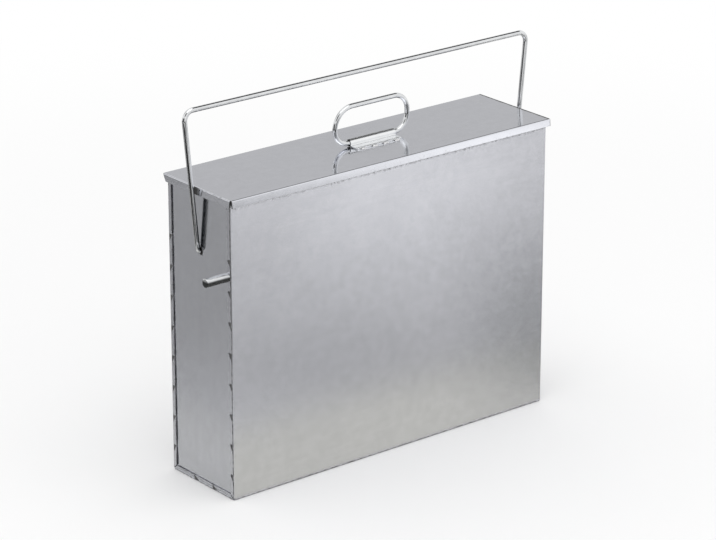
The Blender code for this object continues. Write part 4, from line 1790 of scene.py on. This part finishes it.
@dataclass
class Studio:
    """Pale floor, soft light and the camera."""

    floor_size: float = 14.0
    floor_tone: float = 0.96
    floor_roughness: float = 0.9
    paper_near: float = 0.55
    paper_far: float = 1.5
    ambient: float = 0.93
    azimuth: float = math.radians(-38.98)
    elevation: float = math.radians(20.47)
    aim_right: float = -0.0036
    aim_up: float = 0.1670
    distance: float = 3.309
    focal_pixels: float = 3245.0
    sensor: float = 36.0

    def build(self) -> None:
        """Set up floor, world, lamp, cards and camera."""
        self.make_floor()
        self.make_world()
        for item in (OVERHEAD, *FLAGS):
            item.build()
        self.make_camera()
        bpy.context.scene.view_settings.view_transform = "Standard"

    def make_floor(self) -> None:
        """Lay a plain pale floor that keeps the object's shadow."""
        bm = bmesh.new()
        bmesh.ops.create_grid(bm, x_segments=2, y_segments=2, size=self.floor_size / 2)
        floor = new_piece("pale_floor", bm)
        bench = Bench.for_material("pale_paper")
        paper = bench.shader.inputs
        bench.feed(paper["Base Color"], [self.floor_tone] * 3)
        paper["Roughness"].default_value = self.floor_roughness
        paper["Specular IOR Level"].default_value = 0.0
        place = bench.add("ShaderNodeTexCoord").outputs["Object"]
        away = bench.add("ShaderNodeVectorMath", place, operation="LENGTH").outputs["Value"]
        far = bench.remap(away, self.paper_near, self.paper_far)
        white = bench.add("ShaderNodeEmission", Color=ONES, Strength=1.0)
        bench.show_mix(bench.math("MULTIPLY", far, self.seen_directly(bench)), bench.shader, white)
        floor.data.materials.append(bench.material)
        floor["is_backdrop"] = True

    @staticmethod
    def seen_directly(bench: Bench) -> NodeSocket:
        """Tell rays of the camera, of reflections and of clear materials from those that light the scene.

        Args:
            bench: Bench of the material or world.

        Returns:
            Socket that is 1 for those rays.
        """
        path = bench.add("ShaderNodeLightPath").outputs
        seen = bench.math("MAXIMUM", path["Is Camera Ray"], path["Is Glossy Ray"])
        return bench.math("MAXIMUM", seen, path["Is Transmission Ray"])

    def make_world(self) -> None:
        """Light the scene evenly and show white to the camera and in reflections."""
        world = bpy.data.worlds.new("studio_white")
        world.use_nodes = True
        world.node_tree.nodes.clear()
        bench = Bench(world.node_tree)
        bench.add("ShaderNodeOutputWorld")
        lit = bench.add("ShaderNodeBackground", Color=ONES, Strength=self.ambient)
        white = bench.add("ShaderNodeBackground", Color=ONES, Strength=1.0)
        bench.show_mix(self.seen_directly(bench), lit, white)
        bpy.context.scene.world = world

    def make_camera(self) -> None:
        """Place the camera at the photograph's angle."""
        flat, rise = math.cos(self.elevation), math.sin(self.elevation)
        back = Vector((math.sin(self.azimuth) * flat, -math.cos(self.azimuth) * flat, rise))
        right = AXIS_Z.cross(back).normalized()
        up = back.cross(right)
        lens = bpy.data.cameras.new("photo_camera")
        lens.sensor_width = self.sensor
        lens.lens = self.focal_pixels * self.sensor / IMAGE_WIDTH
        camera = bpy.data.objects.new("photo_camera", lens)
        place = right * self.aim_right + up * self.aim_up + back * self.distance
        turn = Matrix((right, up, back)).transposed().to_4x4()
        camera.matrix_world = Matrix.Translation(place) @ turn
        bpy.context.scene.collection.objects.link(camera)
        bpy.context.scene.camera = camera


OVERHEAD = Softbox("overhead_softbox", (-0.2, -0.5, 2.1), (0.0, 0.0, 0.2), 1.6, 1.2, 1.1)
FLAGS = (
    Flag("grey_floor", (-0.35, 0.35, 0.0022), ORIGIN, 3.00, 2.90, 0.36, 0.0, 0.1),
    Flag("front_floor_flag", (0.09, -0.30, 0.0012), (0.0, 0.0, 23.0), 0.50, 0.34, 0.18, 0.05, 0.4),
    Flag("front_right_floor_flag", (0.40, -0.20, 0.0014), (0.0, 0.0, 39.0), 0.38, 0.68, 0.42, 0.05, 0.4),
    Flag("far_right_floor_flag", (0.60, -0.48, 0.0016), (0.0, 0.0, 39.0), 0.34, 0.50, 0.55, 0.05, 0.5),
    Flag("front_floor_reflector", (0.54, -0.70, 0.0018), ORIGIN, 0.76, 0.86, 0.70, 1.90, 0.5),
    Flag("front_middle_reflector", (0.31, -0.41, 0.0020), ORIGIN, 0.30, 0.30, 0.30, 1.30, 0.5),
    Flag(
        "front_base_reflector", (-0.05, -0.135, 0.0010), ORIGIN, 1.20, 0.17, 0.90, 1.07, 0.4,
        near_soft=0.03, tint=(1.01, 1.0, 0.91),
    ),
    Flag(
        "left_base_reflector", (-0.27, 0.06, 0.0010), (0.0, 0.0, -90.0), 0.60, 0.14, 0.40, 1.10, 0.4,
        near_soft=0.05, tint=(1.0, 1.0, 0.95),
    ),
    Flag("skirt_reflector", (1.17, -1.52, 0.0020), ORIGIN, 0.95, 1.40, 1.00, 1.38, 0.5),
    Flag("skirt_left_flag", (0.85, -1.55, 0.0024), ORIGIN, 1.00, 1.00, 0.42, 0.05, 0.45),
    Flag("right_leg_grey", (0.20, -1.22, 0.0020), ORIGIN, 1.30, 0.70, 0.50, 0.02, 0.2),
    Flag("back_floor_flag", (0.27, 0.72, 0.0012), ORIGIN, 1.36, 0.95, 0.75, 0.05, 0.25),
    Flag("left_floor_flag", (-0.78, 0.81, 0.0014), ORIGIN, 1.50, 1.88, 0.40, 0.05, 0.27),
    Flag("left_skirt_flag", (-1.15, 1.35, 0.0016), ORIGIN, 0.70, 0.50, 0.65, 0.05, 0.5),
    Flag("left_leg_flag", (-0.865, -0.04, 0.0016), ORIGIN, 0.57, 0.76, 0.95, 0.02, 0.18),
    Flag("left_leg_front_flag", (-0.71, -0.50, 0.0018), (0.0, 0.0, 45.0), 0.30, 0.60, 0.95, 0.02, 0.2),
    Flag("left_foot_flag", (-0.36, -0.50, 0.0016), ORIGIN, 0.62, 0.36, 0.92, 0.02, 0.25),
    Flag("right_leg_flag", (-0.62, -1.12, 0.0016), ORIGIN, 1.10, 0.60, 0.92, 0.02, 0.2),
    Flag("left_wall_flag", (-1.25, -0.45, 0.15), (90.0, 0.0, 110.0), 1.30, 1.10, 0.95, 0.02, 0.15),
    Flag("left_back_wall_flag", (-1.17, 0.43, 0.15), (90.0, 0.0, 70.0), 0.75, 1.10, 0.95, 0.02, 0.15),
    Flag("high_left_flag", (-1.20, -0.85, 1.30), (42.0, 0.0, -55.0), 1.40, 1.20, 0.90, 0.02, 0.2),
    Flag("high_back_left_flag", (-0.55, 1.75, 1.25), (117.0, 0.0, 17.4), 2.20, 1.30, 0.55, 0.02, 0.3),
    Flag("high_back_flag", (1.28, 0.42, 1.90), (-16.7, 0.0, 0.0), 1.35, 2.40, 0.95, 0.02, 0.15),
    Flag("back_wall_flag", (1.41, 1.75, 1.15), (110.5, 0.0, -39.0), 2.20, 1.20, 0.43, 0.02, 0.3),
    Flag("horizon_flag", (1.30, 1.60, 0.28), (90.0, 0.0, -39.0), 2.60, 0.62, 0.70, 0.04, 0.3),
)


def clear_start_scene() -> None:
    """Remove the start-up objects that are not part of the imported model."""
    kept = set(frame["nodes"].values()) | set(frame["bodies"].values())
    for obj in [item for item in bpy.data.objects if item not in kept]:
        bpy.data.objects.remove(obj, do_unlink=True)


def write_sizes() -> None:
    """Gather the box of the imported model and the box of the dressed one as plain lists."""
    boxes = {"cad": CAD_BOX, "visual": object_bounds()}
    plain = {name: [[float(part) for part in corner] for corner in box] for name, box in boxes.items()}


def main() -> None:
    """Build every sub-assembly, then the studio."""
    logging.basicConfig(level=logging.INFO, format="%(name)s: %(message)s")
    clear_start_scene()
    effects = Effects()
    for assembly in (BodyShell(), StopPin(), Lid(), LidHandle(), CarryBail()):
        assembly.build(effects)
    Studio().build()
    write_sizes()


if __name__ == "__main__":
    main()
